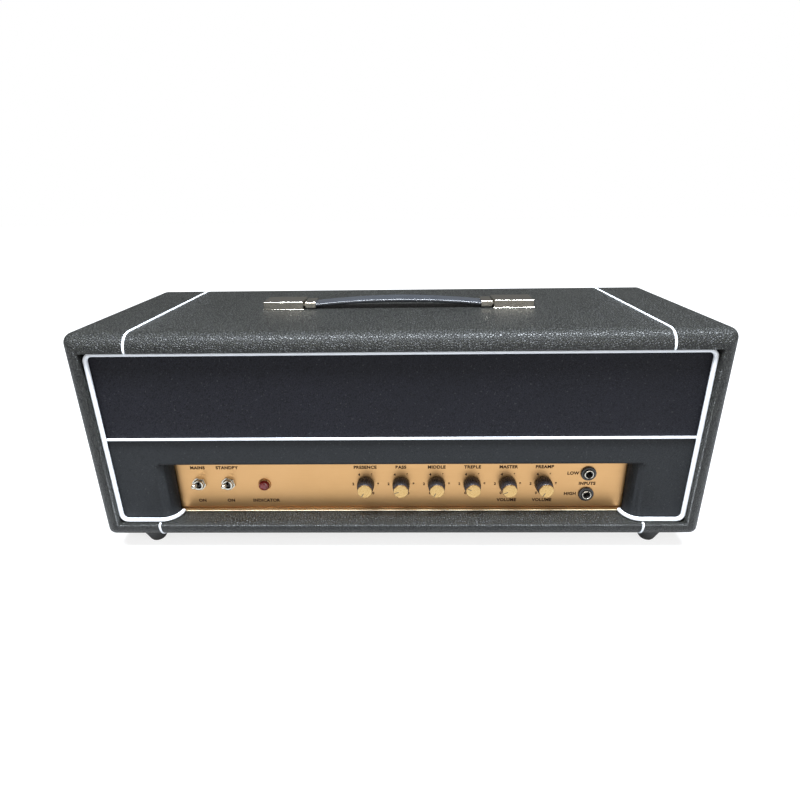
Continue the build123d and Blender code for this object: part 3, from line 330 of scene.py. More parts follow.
def jewel_finish():
    finish = Finish("jewel_red", (0.2, 0.011, 0.008), 0.12, coat_weight=0.25, ior=1.5)
    facets = node(finish.tree, "ShaderNodeTexVoronoi", {"feature": "F1"}, Vector=finish.place, Scale=420.0)
    finish.tint(facets.outputs["Distance"], (0.1, 0.004, 0.004))
    finish.gloss(facets.outputs["Distance"], 0.06, 0.2)
    finish.relief(facets.outputs["Distance"], 0.1 * MM)
    return finish.material


def plywood_finish():
    """Bare birch ply: face grain along X, with the plies showing as lines across the thickness."""
    finish = Finish("bare_plywood", (0.5, 0.34, 0.19), 0.72)
    lines = finish.group(BRUSHING, Line=0.0022, Length=22.0)
    marks = finish.group(PATCHES, Size=0.08, Contrast=1.6)
    base = finish.tint(lines["Line"], (0.36, 0.22, 0.11))
    finish.tint(calc(finish.tree, "MULTIPLY", marks["Mask"], 0.5), (0.6, 0.44, 0.27), base)
    finish.relief(lines["Line"], 0.12 * MM)
    return finish.material


def glass_finish():
    finish = Finish("valve_glass", (0.95, 0.97, 0.97), 0.03, transmission_weight=1.0, ior=1.45)
    marks = finish.group(PATCHES, Size=0.015, Contrast=1.5)
    finish.tint(marks["Mask"], (0.9, 0.93, 0.93))
    finish.gloss(marks["Mask"], 0.02, 0.06)
    return finish.material


def winding_finish():
    finish = Finish("winding_paper", (0.55, 0.36, 0.16), 0.5)
    lines = finish.group(BRUSHING, Line=0.0012, Length=60.0)
    finish.tint(lines["Line"], (0.42, 0.25, 0.1))
    finish.relief(lines["Line"], 0.1 * MM)
    return finish.material


MATERIALS = {
    # The second colour of each vinyl is the painted shade in its grain's creases.
    "black_vinyl": vinyl_finish(
        "black_vinyl", (0.0145, 0.0148, 0.0122), (0.001, 0.001, 0.001), 2.5 * MM, 0.38 * MM, 0.3, 0.34
    ),
    "charcoal_vinyl": vinyl_finish(
        "charcoal_vinyl", (0.0108, 0.0118, 0.0132), (0.007, 0.008, 0.009), 0.9 * MM, 0.08 * MM, 0.56, 0.28
    ),
    "front_cloth": vinyl_finish(
        "front_cloth", (0.007, 0.007, 0.0105), (0.003, 0.003, 0.0045), 1.7 * MM, 0.17 * MM, 0.42, 0.16
    ),
    "white_piping": plain_finish(
        "white_piping", (0.78, 0.8, 0.83), 0.38, patch=0.03, grain=0.0008, drift=(0.7, 0.72, 0.74)
    ),
    "gold_plate": gold_finish(),
    "nickel": nickel_finish(),
    # Pale non-metal colour of the strip at the gold panel's foot: a painted highlight.
    "pale_edge": plain_finish("pale_edge", (0.86, 0.74, 0.54), 0.5, patch=0.02, grain=0.0006),
    "spun_gold": spun_finish(),
    "knob_black": plain_finish("knob_black", (0.014, 0.014, 0.017), 0.3, patch=0.006, grain=0.0005),
    "ink": plain_finish("ink", (0.014, 0.004, 0.002), 0.7, patch=0.01, grain=0.0003, specular_ior_level=0.08),
    "white_ink": plain_finish("white_ink", (0.75, 0.75, 0.72), 0.6, patch=0.01, grain=0.0003),
    "jewel_red": jewel_finish(),
    "handle_rubber": plain_finish(
        "handle_rubber", (0.019, 0.021, 0.025), 0.22, patch=0.02, grain=0.0012, coat_weight=0.9
    ),
    "foot_rubber": plain_finish("foot_rubber", (0.018, 0.018, 0.018), 0.66, patch=0.012, grain=0.0009),
    "bare_plywood": plywood_finish(),
    "zinc_steel": plain_finish(
        "zinc_steel", (0.55, 0.56, 0.56), 0.38, 1.0, patch=0.02, grain=0.0015, drift=(0.46, 0.47, 0.45)
    ),
    "plain_steel": plain_finish("plain_steel", (0.5, 0.5, 0.5), 0.32, 1.0, patch=0.008, grain=0.0006),
    "black_steel": plain_finish("black_steel", (0.02, 0.02, 0.021), 0.42, patch=0.02, grain=0.0007),
    "phenolic": plain_finish("phenolic", (0.022, 0.02, 0.019), 0.34, patch=0.01, grain=0.0006),
    "iron_lacquer": plain_finish("iron_lacquer", (0.03, 0.03, 0.033), 0.36, patch=0.015, grain=0.0009),
    "winding_paper": winding_finish(),
    "valve_glass": glass_finish(),
    "anode_metal": plain_finish("anode_metal", (0.12, 0.12, 0.125), 0.5, 0.6, patch=0.006, grain=0.0006),
    "ceramic": plain_finish("ceramic", (0.72, 0.69, 0.62), 0.6, patch=0.006, grain=0.0006),
    "can_aluminium": plain_finish("can_aluminium", (0.66, 0.66, 0.67), 0.3, 1.0, patch=0.01, grain=0.0008),
    "board_laminate": plain_finish("board_laminate", (0.22, 0.12, 0.05), 0.5, patch=0.02, grain=0.001),
    "component_yellow": plain_finish("component_yellow", (0.62, 0.36, 0.04), 0.35, patch=0.006, grain=0.0006),
}

PLAIN_PIECES = {
    "nickel": ("toggle_switches",),
    "gold_plate": ("indicator_holder",),
    "phenolic": (
        "input_jacks", "speaker_jacks", "mains_inlet", "fuse_holders",
        "mains_fuse_cap", "ht_fuse_cap", "selector_switch", "tube_bases",
    ),
    "knob_black": ("impedance_selector",),
    "bare_plywood": ("top_board", "bottom_board", "side_boards", "panel_cleats"),
    "plain_steel": ("handle_bolts", "foot_screws", "chassis_bolts", "potentiometers"),
    "iron_lacquer": ("power_transformer", "output_transformer", "choke"),
    "winding_paper": ("transformer_windings",),
    "valve_glass": ("tube_glass",),
    "anode_metal": ("tube_anodes",),
    "ceramic": ("tube_sockets",),
    "can_aluminium": ("filter_capacitors",),
    "board_laminate": ("turret_board",),
    "component_yellow": ("board_components",),
}


# ---- meshes
def even_shading(made):
    """Corner normals that follow the larger faces, so a flat face beside a rounding shades flat."""
    even = made.modifiers.new("even", "WEIGHTED_NORMAL")
    even.keep_sharp = True
    graph = bpy.context.evaluated_depsgraph_get()
    made.data = bpy.data.meshes.new_from_object(
        made.evaluated_get(graph), preserve_all_data_layers=True, depsgraph=graph
    )
    made.modifiers.remove(even)


def piece(name, mesh, material, body, stands_for=(), sharp=34.0, even=False):
    """A finished mesh as a piece of the object: smooth, except where it turns sharply."""
    mesh.materials.clear()
    mesh.materials.append(MATERIALS[material])
    mesh.shade_smooth()
    mesh.set_sharp_from_angle(angle=radians(sharp))
    made = bpy.data.objects.new(name, mesh)
    bpy.context.scene.collection.objects.link(made)
    if even:
        even_shading(made)
    if body:
        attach(made, body)
    if stands_for:
        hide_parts(*stands_for)
    return made


def mesh_from(name, vertices, faces):
    mesh = bpy.data.meshes.new(name)
    mesh.from_pydata([tuple(v) for v in vertices], [], faces)
    work = bmesh.new()
    work.from_mesh(mesh)
    bmesh.ops.remove_doubles(work, verts=work.verts, dist=1e-6)
    bmesh.ops.recalc_face_normals(work, faces=work.faces)
    work.to_mesh(mesh)
    work.free()
    return mesh


def joined_mesh(name, meshes):
    work = bmesh.new()
    for mesh in meshes:
        work.from_mesh(mesh)
    whole = bpy.data.meshes.new(name)
    work.to_mesh(whole)
    work.free()
    return whole


def turned(name, outline, segments=64, place=None, turned_map=False):
    """Turn (radius, height) points about +Z, then move the mesh. A radius of 0 closes to a point."""
    vertices = []
    for radius, height in outline:
        ring = 1 if radius == 0 else segments
        vertices += [
            (radius * cos(tau * i / ring), radius * sin(tau * i / ring), height) for i in range(ring)
        ]
    starts = [0]
    for radius, _ in outline:
        starts.append(starts[-1] + (1 if radius == 0 else segments))
    faces = []
    for k in range(len(outline) - 1):
        a, b = starts[k], starts[k + 1]
        for i in range(segments):
            j = (i + 1) % segments
            corners = [a + i, a + j, b + j, b + i]
            if outline[k][0] == 0:
                corners = [a, b + j, b + i]
            elif outline[k + 1][0] == 0:
                corners = [a + i, a + j, b]
            faces.append(corners)
    mesh = mesh_from(name, vertices, faces)
    if turned_map:
        reach = max(radius for radius, _ in outline)
        layer = mesh.uv_layers.new(name="turned")
        for loop in mesh.loops:
            spot = mesh.vertices[loop.vertex_index].co
            layer.data[loop.index].uv = (0.5 + 0.5 * spot.x / reach, Vector((spot.x, spot.y)).length / reach)
    if place is not None:
        mesh.transform(place)
    return mesh


def facing_front(x, y, z, turn=0.0):
    """Takes +Z to the front (-Y) and +Y to the top, turned clockwise as seen from the front."""
    spin = Matrix.Rotation(radians(turn), 4, "Y")
    return Matrix.Translation((x, y, z)) @ spin @ Matrix.Rotation(pi / 2, 4, "X")


def refined(node_name, material, bevel=0.0, sharp=34.0, name=None):
    """A merged, smooth copy of a CAD node, with its hard edges softened where a bevel is given, that stands
    for it.
    """
    work = bmesh.new()
    work.from_mesh(NODES[node_name].data)
    bmesh.ops.remove_doubles(work, verts=work.verts, dist=1e-6)
    if bevel:
        bmesh.ops.dissolve_limit(work, angle_limit=radians(2), verts=work.verts, edges=work.edges)
        edges = [e for e in work.edges if len(e.link_faces) == 2 and e.calc_face_angle() > radians(50)]
        bmesh.ops.bevel(
            work, geom=edges, offset=bevel, offset_type="OFFSET", segments=2, profile=0.6,
            affect="EDGES", clamp_overlap=True,
        )
        bmesh.ops.triangulate(work, faces=[f for f in work.faces if len(f.verts) > 4])
    mesh = bpy.data.meshes.new(node_name + "_finished")
    work.to_mesh(mesh)
    work.free()
    body = NODES[node_name]["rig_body"]
    return piece(name or node_name + "_finished", mesh, material, body, (node_name,), sharp, even=True)


# ---- geometry nodes
def geometry_tree(name, inputs):
    tree = bpy.data.node_groups.new(name, "GeometryNodeTree")
    tree.interface.new_socket(name="Geometry", in_out="INPUT", socket_type="NodeSocketGeometry")
    for socket, (kind, value) in inputs.items():
        made = tree.interface.new_socket(name=socket, in_out="INPUT", socket_type=kind)
        if value is not None:
            made.default_value = value
    tree.interface.new_socket(name="Geometry", in_out="OUTPUT", socket_type="NodeSocketGeometry")
    return tree, tree.nodes.new("NodeGroupInput"), tree.nodes.new("NodeGroupOutput")


def finish_tree(tree, out, geometry):
    """Realize Instances and Set Material, then the output. The material is the tree's own input."""
    given = next(n for n in tree.nodes if n.bl_idname == "NodeGroupInput")
    solid = node(tree, "GeometryNodeRealizeInstances", Geometry=geometry).outputs[0]
    material = given.outputs["Material"]
    painted = node(tree, "GeometryNodeSetMaterial", Geometry=solid, Material=material).outputs[0]
    tree.links.new(painted, out.inputs["Geometry"])


def run_tree(tree, source, **values):
    """Applies a geometry tree to a mesh or curve and returns the result as a plain mesh."""
    carrier = bpy.data.objects.new(tree.name + "_carrier", source)
    bpy.context.scene.collection.objects.link(carrier)
    modifier = carrier.modifiers.new("shape", "NODES")
    modifier.node_group = tree
    names = {item.name: item.identifier for item in tree.interface.items_tree if item.in_out == "INPUT"}
    for name, value in values.items():
        modifier[names[name]] = value
    bpy.context.view_layer.update()
    shown = carrier.evaluated_get(bpy.context.evaluated_depsgraph_get())
    mesh = bpy.data.meshes.new_from_object(shown)
    bpy.data.objects.remove(carrier)
    return mesh


def on_points_tree():
    """One mesh copied onto every vertex, as screws, nuts and rivets are."""
    tree, given, out = geometry_tree(
        "copies_on_points",
        {
            "Part": ("NodeSocketObject", None),
            "Material": ("NodeSocketMaterial", None),
            "Turn": ("NodeSocketVector", (0.0, 0.0, 0.0)),
            "Spread": ("NodeSocketFloat", 0.0),
        },
    )
    part = node(tree, "GeometryNodeObjectInfo", Object=given.outputs["Part"]).outputs["Geometry"]
    points = node(tree, "GeometryNodeMeshToPoints", Mesh=given.outputs["Geometry"]).outputs[0]
    spin = node(tree, "FunctionNodeRandomValue", {"data_type": "FLOAT"})
    spin.inputs["Seed"].default_value = 7
    tree.links.new(given.outputs["Spread"], spin.inputs[3])
    own = node(tree, "ShaderNodeCombineXYZ", Z=spin.outputs[1])
    local = node(tree, "FunctionNodeEulerToRotation", Euler=own.outputs[0]).outputs[0]
    outer = node(tree, "FunctionNodeEulerToRotation", Euler=given.outputs["Turn"]).outputs[0]
    turned_both = node(tree, "FunctionNodeRotateRotation", {"rotation_space": "LOCAL"}, Rotation=outer)
    tree.links.new(local, turned_both.inputs["Rotate By"])
    copies = node(tree, "GeometryNodeInstanceOnPoints", Points=points, Instance=part)
    tree.links.new(turned_both.outputs[0], copies.inputs["Rotation"])
    finish_tree(tree, out, copies.outputs[0])
    return tree


def bead_tree():
    """A round bead along a curve, as piping and cord are, with caps at its ends."""
    tree, given, out = geometry_tree(
        "bead_along_curve",
        {
            "Radius": ("NodeSocketFloat", 0.0015),
            "Sides": ("NodeSocketInt", 20),
            "Step": ("NodeSocketFloat", 0.002),
            "Material": ("NodeSocketMaterial", None),
        },
    )
    even = node(tree, "GeometryNodeResampleCurve", {"mode": "LENGTH"}, Curve=given.outputs["Geometry"])
    tree.links.new(given.outputs["Step"], even.inputs["Length"])
    ring = node(
        tree, "GeometryNodeCurvePrimitiveCircle",
        Resolution=given.outputs["Sides"], Radius=given.outputs["Radius"],
    )
    tube = node(tree, "GeometryNodeCurveToMesh", Curve=even.outputs[0], _1=ring.outputs[0])
    tube.inputs["Fill Caps"].default_value = True
    finish_tree(tree, out, tube.outputs[0])
    return tree


COPIES = on_points_tree()
BEAD = bead_tree()


def copies(name, part_mesh, points, material, turn, spread, body, stands_for=()):
    """Copies of one small part at several places, made by the copying tree, as one piece."""
    part = bpy.data.objects.new(name + "_pattern", part_mesh)
    source = bpy.data.meshes.new(name + "_places")
    source.from_pydata([tuple(p) for p in points], [], [])
    mesh = run_tree(COPIES, source, Part=part, Material=MATERIALS[material], Turn=turn, Spread=spread)
    bpy.data.objects.remove(part)
    return piece(name, mesh, material, body, stands_for)


def bead(name, lines, radius, material, body, stands_for=(), step=1.5 * MM):
    """Round beads along lists of points, as one piece."""
    curve = bpy.data.curves.new(name + "_path", "CURVE")
    curve.dimensions = "3D"
    for points in lines:
        spline = curve.splines.new("POLY")
        spline.points.add(len(points) - 1)
        for spot, point in zip(spline.points, points):
            spot.co = (*point, 1.0)
    mesh = run_tree(BEAD, curve, Radius=radius, Sides=18, Step=step, Material=MATERIALS[material])
    return piece(name, mesh, material, body, stands_for)


TO_FRONT = (pi / 2, 0.0, 0.0)
TO_REAR = (-pi / 2, 0.0, 0.0)


# ---- cabinet
def fittings():
    """The solid pieces that keep their own shape, smoothed."""
    for material, names in PLAIN_PIECES.items():
        for name in names:
            refined(name, material)


def cabinet():
    refined("vinyl_covering", "black_vinyl", sharp=50)
    refined("front_piping", "white_piping", sharp=50)
    refined("lower_front_panel", "charcoal_vinyl", sharp=40)
    refined("upper_front_panel", "front_cloth", bevel=0.8 * MM, sharp=40)
    refined("rear_panel", "black_vinyl", bevel=1.2 * MM)
    refined("rubber_feet", "foot_rubber", sharp=50)
    refined("control_panel", "gold_plate", sharp=5)
    refined("chassis", "zinc_steel", sharp=5)
    refined("vent_grille", "black_steel")


def seam_outline(top):
    """Half of the cabinet's section that a seam bead follows, from the front rim to the rear rim."""
    box_low, box_high = low("vinyl_covering"), high("vinyl_covering")
    radius = 16.0 * MM
    rim = 18.8 * MM
    edge = box_high.z if top else box_low.z
    inward = -1 if top else 1
    points = []
    for y, toward in ((box_low.y, 1), (box_high.y, -1)):
        side = [
            (y + toward * 2.4 * MM, edge + inward * (rim + 0.2 * MM)),
            (y + toward * 0.6 * MM, edge + inward * rim),
        ]
        side += [(y, edge + inward * (rim - 1.2 * MM))]
        centre = (y + toward * radius, edge + inward * radius)
        for i in range(13):
            turn = (pi / 2) * i / 12
            side.append((centre[0] - toward * radius * cos(turn), centre[1] - inward * radius * sin(turn)))
        points.append(side)
    return points[0] + points[1][::-1]


def seams():
    seam = NODES["seam_piping"]
    xs = sorted({round(v.co.x, 4) for v in seam.data.vertices})
    centre = (xs[-1] + [x for x in xs if x > 0][0]) / 2
    sink = 0.35 * MM
    lines = []
    for side in (-1, 1):
        for top in (True, False):
            centre_z = middle("vinyl_covering").z
            line = []
            for y, z in seam_outline(top):
                outward = Vector((0, y, z - centre_z))
                outward.y = 0 if abs(y) < 0.1 else y
                outward.z = outward.z if abs(abs(z - centre_z) - 0.12) < 0.017 else 0
                line.append(Vector((side * centre, y, z)) - outward.normalized() * sink)
            lines.append(line)
    bead("seam_beads", lines, 1.25 * MM, "white_piping", "cabinet", ("seam_piping",))


# ---- controls
def knob_mesh():
    """A fluted barrel that tapers to its cap, drawn about +Z with its base at 0."""
    back, rim = 0.7 * MM, 14.3 * MM
    rings = [
        (7.4 * MM, back + 3.0 * MM, 0.0),
        (7.6 * MM, back, 0.0),
        (9.3 * MM, back, 0.3),
        (9.85 * MM, back + 0.5 * MM, 1.0),
        (9.85 * MM, back + 3.2 * MM, 1.0),
        (9.4 * MM, back + 6.5 * MM, 1.0),
        (8.95 * MM, back + 10.0 * MM, 1.0),
        (8.55 * MM, rim - 1.4 * MM, 0.7),
        (8.3 * MM, rim - 0.3 * MM, 0.1),
        (8.0 * MM, rim, 0.0),
        (6.5 * MM, rim, 0.0),
    ]
    samples = FLUTES * 8
    depth = 0.75 * MM
    vertices = []
    for radius, height, cut in rings:
        for i in range(samples):
            wave = (0.5 + 0.5 * cos(tau * i * FLUTES / samples)) ** 1.6
            r = radius - depth * cut * wave
            vertices.append((r * sin(tau * i / samples), r * cos(tau * i / samples), height))
    faces = []
    for k in range(len(rings) - 1):
        for i in range(samples):
            j = (i + 1) % samples
            faces.append((k * samples + i, k * samples + j, (k + 1) * samples + j, (k + 1) * samples + i))
    return mesh_from("knob_barrel", vertices, faces)


def cap_mesh():
    rim, top = 14.2 * MM, 15.5 * MM
    outline = [
        (0.0, rim), (8.15 * MM, rim), (8.2 * MM, rim + 0.5 * MM), (8.05 * MM, top - 0.25 * MM),
        (7.75 * MM, top), (7.45 * MM, top - 0.12 * MM),
        (7.2 * MM, top - 0.22 * MM), (2.4 * MM, top - 0.2 * MM),
        (0.0, top - 0.2 * MM),
    ]
    return turned("knob_cap", outline, 96, turned_map=True)


def knobs():
    barrel = knob_mesh()
    cap = cap_mesh()
    for name, rest in zip(KNOBS, KNOB_REST):
        x = middle("shaft_" + name).x
        place = facing_front(x, PLATE_Y, CONTROL_Z, rest)
        body = name + "_control"
        own_barrel = barrel.copy()
        own_barrel.transform(place)
        piece("knob_barrel_" + name, own_barrel, "knob_black", body, ("knob_" + name,), sharp=40)
        own_cap = cap.copy()
        own_cap.transform(place)
        made = piece("knob_cap_" + name, own_cap, "spun_gold", body, sharp=30)
        mark = bar_mesh("pointer", (0.75 * MM, 4.8 * MM, 0.14 * MM))
        mark.transform(place @ Matrix.Translation((0, 5.1 * MM, 15.33 * MM)))
        made = piece("knob_pointer_" + name, mark, "knob_black", body)


def bar_mesh(name, size, bevel=0.0):
    """A small block about the origin, with its edges softened where asked."""
    work = bmesh.new()
    bmesh.ops.create_cube(work, size=1.0, matrix=Matrix.Diagonal((*size, 1.0)))
    if bevel:
        bmesh.ops.bevel(work, geom=work.edges[:], offset=bevel, segments=3, profile=0.6, affect="EDGES")
    mesh = bpy.data.meshes.new(name)
    work.to_mesh(mesh)
    work.free()
    return mesh


def hex_nut_mesh(flats, bore, thick):
    """A chamfered hexagon nut about +Z with a rounded bore."""
    corner = flats / 2 / cos(pi / 6)
    sides = 48
    rings = []
    for scale, height in ((0.93, 0.0), (1.0, 0.14), (1.0, 0.8), (0.9, 1.0)):
        ring = []
        for i in range(sides):
            turn = tau * i / sides
            local = (turn + pi / 6) % (pi / 3) - pi / 6
            hexagon = flats / 2 / cos(local)
            limit = flats / 2 + (corner - flats / 2) * (0.35 if scale < 1 else 1.0)
            ring.append((min(hexagon, limit), turn, height * thick))
        rings.append(ring)
    rings.append([(bore + 0.5 * MM, tau * i / sides, thick) for i in range(sides)])
    rings.append([(bore, tau * i / sides, thick - 0.4 * MM) for i in range(sides)])
    rings.append([(bore, tau * i / sides, 0.0) for i in range(sides)])
    rings.append(rings[0])
    vertices = [(r * cos(t), r * sin(t), h) for ring in rings for r, t, h in ring]
    faces = []
    for k in range(len(rings) - 1):
        for i in range(sides):
            j = (i + 1) % sides
            faces.append((k * sides + i, k * sides + j, (k + 1) * sides + j, (k + 1) * sides + i))
    return mesh_from("hex_nut", vertices, faces)


def threaded_sleeve(radius, bore, start, end, pitch=0.8 * MM, depth=0.28 * MM):
    """A sleeve about +Z with a thread outside, a rounded mouth and a smooth bore."""
    outline = [(bore, start), (radius - depth, start)]
    turns = int((end - start - 0.6 * MM) / pitch)
    for i in range(turns):
        base = start + i * pitch
        outline += [(radius, base + 0.5 * pitch), (radius - depth, base + pitch)]
    outline += [(radius - 0.3 * MM, end - 0.3 * MM), (radius - 0.6 * MM, end), (bore + 0.4 * MM, end)]
    outline += [(bore, end - 0.4 * MM), (bore, start)]
    return turned("threaded_sleeve", outline, 48)


def toggles():
    xs = [middle(name + "_toggle_lever").x for name in ("mains", "standby")]
    bushing = 5.95 * MM
    sleeves = []
    for x in xs:
        sleeve = threaded_sleeve(bushing + 0.1 * MM, bushing - 1.9 * MM, 0.1 * MM, 5.3 * MM)
        sleeve.transform(facing_front(x, PLATE_Y, TOGGLE_Z))
        sleeves.append(sleeve)
    made = piece("toggle_bushings", joined_mesh("toggle_bushings", sleeves), "nickel", "cabinet", sharp=25)
    for name, x in zip(("mains", "standby"), xs):
        turn = Matrix.Rotation(radians(90 - TOGGLE_TILT), 4, "X")
        place = Matrix.Translation((x, PLATE_Y - TOGGLE_PIVOT, TOGGLE_Z)) @ turn
        body, lever = name + "_switch", name + "_toggle_lever"
        outline = [
            (0.0, 1.0 * MM), (1.65 * MM, 1.0 * MM), (1.6 * MM, 4.0 * MM), (1.7 * MM, 7.5 * MM),
            (2.25 * MM, 11.5 * MM), (2.7 * MM, 14.2 * MM), (2.6 * MM, 15.2 * MM), (2.0 * MM, 16.0 * MM),
            (0.9 * MM, 16.4 * MM), (0.0, 16.5 * MM),
        ]
        bat = turned("toggle_bat", outline, 40, place)
        piece(name + "_toggle_bat", bat, "nickel", body, (lever,), sharp=60)
        ball = [(3.35 * MM * sin(pi * k / 16), -3.35 * MM * cos(pi * k / 16)) for k in range(1, 15)]
        ball = [(0.0, -3.35 * MM)] + ball + [(1.2 * MM, 3.2 * MM), (0.0, 3.2 * MM)]
        round_end = turned("toggle_ball", ball, 32, place)
        made = piece(name + "_toggle_ball", round_end, "phenolic", body, sharp=60)


def round_nut_mesh():
    """A round panel nut about +Z with a plain rounded edge and a domed face."""
    outline = [
        (6.05 * MM, 0.0), (8.3 * MM, 0.0), (8.6 * MM, 0.35 * MM), (8.6 * MM, 1.5 * MM), (8.1 * MM, 2.2 * MM),
        (7.0 * MM, 2.55 * MM), (6.4 * MM, 2.5 * MM), (6.05 * MM, 2.1 * MM), (6.05 * MM, 0.0),
    ]
    return turned("round_nut", outline, 72)


def jack_ring_mesh():
    """The bright domed mouth of a jack socket about +Z."""
    outline = [
        (3.3 * MM, 0.2 * MM), (5.4 * MM, 0.2 * MM), (5.4 * MM, 2.9 * MM),
        (5.2 * MM, 3.5 * MM), (4.8 * MM, 3.75 * MM),
        (4.3 * MM, 3.6 * MM), (3.6 * MM, 2.7 * MM), (3.3 * MM, 1.8 * MM), (3.3 * MM, 0.2 * MM),
    ]
    return turned("jack_ring", outline, 64)


def panel_hardware():
    jack_x = middle("input_jacks").x
    jack_z = (low("input_jacks").z + 9.5 * MM, high("input_jacks").z - 9.5 * MM)
    speaker = (low("speaker_jacks").x + 9.5 * MM, high("speaker_jacks").x - 9.5 * MM)
    toggle_x = [middle(name + "_toggle_lever").x for name in ("mains", "standby")]
    front = [(jack_x, PLATE_Y, z) for z in jack_z]
    rear = [(x, REAR_Y, CONTROL_Z) for x in speaker]
    hex_nut = hex_nut_mesh(14.3 * MM, 6.05 * MM, 2.4 * MM)
    places = [(x, PLATE_Y, TOGGLE_Z) for x in toggle_x]
    copies("toggle_nuts", hex_nut, places, "nickel", TO_FRONT, 0.4, "cabinet", ("panel_nuts",))
    pot_nut = hex_nut_mesh(12.0 * MM, 4.75 * MM, 2.2 * MM)
    places = [(middle("shaft_" + name).x, PLATE_Y, CONTROL_Z) for name in KNOBS]
    extra = copies("pot_nuts", pot_nut, places, "nickel", TO_FRONT, 1.0, "cabinet")
    for name, places, turn in (("front", front, TO_FRONT), ("rear", rear, TO_REAR)):
        nuts = copies(name + "_jack_nuts", round_nut_mesh(), places, "phenolic", turn, 0.0, "cabinet")
        rings = copies(name + "_jack_rings", jack_ring_mesh(), places, "nickel", turn, 0.0, "cabinet")


def indicator():
    """A red jewel cut with flat facets around a small table, in a bright bezel."""
    spot = middle("indicator_lens")
    back = high("indicator_lens").y
    sides = 14
    rings = ((6.1, 0.0, 0.0), (6.1, 1.4, 0.0), (5.2, 3.2, 0.5), (3.4, 4.5, 0.0), (1.5, 5.0, 0.5))
    vertices = []
    for radius, height, shift in rings:
        for i in range(sides):
            turn = tau * (i + shift) / sides
            vertices.append((radius * MM * cos(turn), radius * MM * sin(turn), height * MM))
    faces = []
    for k in range(len(rings) - 1):
        for i in range(sides):
            j = (i + 1) % sides
            a, b = k * sides, (k + 1) * sides
            faces += [(a + i, a + j, b + i), (a + j, b + j, b + i)]
    faces.append(tuple(range((len(rings) - 1) * sides, len(rings) * sides)))
    faces.append(tuple(range(sides))[::-1])
    mesh = mesh_from("jewel", vertices, faces)
    mesh.transform(facing_front(spot.x, back, spot.z))
    piece("indicator_jewel", mesh, "jewel_red", "cabinet", ("indicator_lens",), sharp=8)
    outline = [
        (6.15 * MM, 0.1 * MM), (7.3 * MM, 0.1 * MM), (7.35 * MM, 0.8 * MM),
        (7.1 * MM, 1.7 * MM), (6.7 * MM, 2.1 * MM),
        (6.3 * MM, 2.0 * MM), (6.15 * MM, 1.6 * MM), (6.15 * MM, 0.1 * MM),
    ]
    bezel = turned("bezel", outline, 64, facing_front(spot.x, PLATE_Y, spot.z))
    piece("indicator_bezel", bezel, "gold_plate", "cabinet")


def panel_edge():
    """A pale strip along the foot of the gold panel, a painted highlight where the panel's edge catches the
    light, and the gold lip behind it.
    """
    box_low, box_high = low("control_panel"), high("control_panel")
    width = box_high.x - box_low.x - 13.0 * MM
    # The pale strip stands for the light caught on the panel's edge: painted highlight.
    edge = bar_mesh("panel_edge", (width, 0.6 * MM, 0.7 * MM), 0.15 * MM)
    edge.transform(Matrix.Translation((0, box_low.y - 0.2 * MM, box_low.z + 1.0 * MM)))
    piece("panel_edge", edge, "pale_edge", "cabinet")
    lip = bar_mesh("panel_lip", (width, 0.5 * MM, 3.6 * MM), 0.15 * MM)
    lip.transform(Matrix.Translation((0, box_low.y + 0.3 * MM, box_low.z + 2.4 * MM)))
    piece("panel_lip", lip, "gold_plate", "cabinet")


# ---- lettering
def text_mesh(words, height, x, y, z, rear=False, spacing=1.1):
    """One line of plain capitals, centred on its place and standing on the panel."""
    curve = bpy.data.curves.new("words", "FONT")
    curve.body = words
    curve.size = height
    curve.space_character = spacing
    curve.align_x = "CENTER"
    curve.align_y = "CENTER"
    curve.extrude = INK_HEIGHT / 2
    curve.offset = STROKE * height / LETTER
    carrier = bpy.data.objects.new("words", curve)
    bpy.context.scene.collection.objects.link(carrier)
    bpy.context.view_layer.update()
    mesh = bpy.data.meshes.new_from_object(carrier.evaluated_get(bpy.context.evaluated_depsgraph_get()))
    bpy.data.objects.remove(carrier)
    half = Matrix.Rotation(pi, 4, "Z") if rear else Matrix.Identity(4)
    mesh.transform(Matrix.Translation((x, y, z)) @ half @ Matrix.Rotation(pi / 2, 4, "X"))
    return mesh


def lettering():
    ink_y = PLATE_Y - INK_HEIGHT / 2
    lines = []
    base = low("control_panel").z
    high_line = base + 56.8 * MM
    for name, label in zip(KNOBS, KNOB_LABELS):
        x = middle("shaft_" + name).x
        lines.append(text_mesh(label, LETTER, x, ink_y, high_line))
        if label in ("MASTER", "PREAMP"):
            lines.append(text_mesh("VOLUME", LETTER, x, ink_y, base + 13.5 * MM))
        for number in range(6):
            turn = radians(-150 + 60 * number)
            nx = x + DIAL_RADIUS * sin(turn)
            nz = CONTROL_Z + DIAL_RADIUS * cos(turn)
            lines.append(text_mesh(str(number * 2), SMALL_LETTER, nx, ink_y, nz, spacing=1.0))
    for name, label in (("mains", "MAINS"), ("standby", "STANDBY")):
        x = middle(name + "_toggle_lever").x
        lines.append(text_mesh(label, LETTER, x, ink_y, high_line))
        lines.append(text_mesh("ON", LETTER, x, ink_y, base + 13.5 * MM))
    jack = middle("input_jacks")
    lines.append(text_mesh("INDICATOR", LETTER, middle("indicator_lens").x, ink_y, base + 13.5 * MM))
    lines.append(text_mesh("LOW", LETTER, jack.x - 17 * MM, ink_y, jack.z + 13.4 * MM))
    lines.append(text_mesh("HIGH", LETTER, jack.x - 18 * MM, ink_y, jack.z - 13.4 * MM))
    lines.append(text_mesh("INPUTS", LETTER, jack.x, ink_y, jack.z))
    made = piece("panel_lettering", joined_mesh("panel_lettering", lines), "ink", "cabinet")
    rear_lettering()


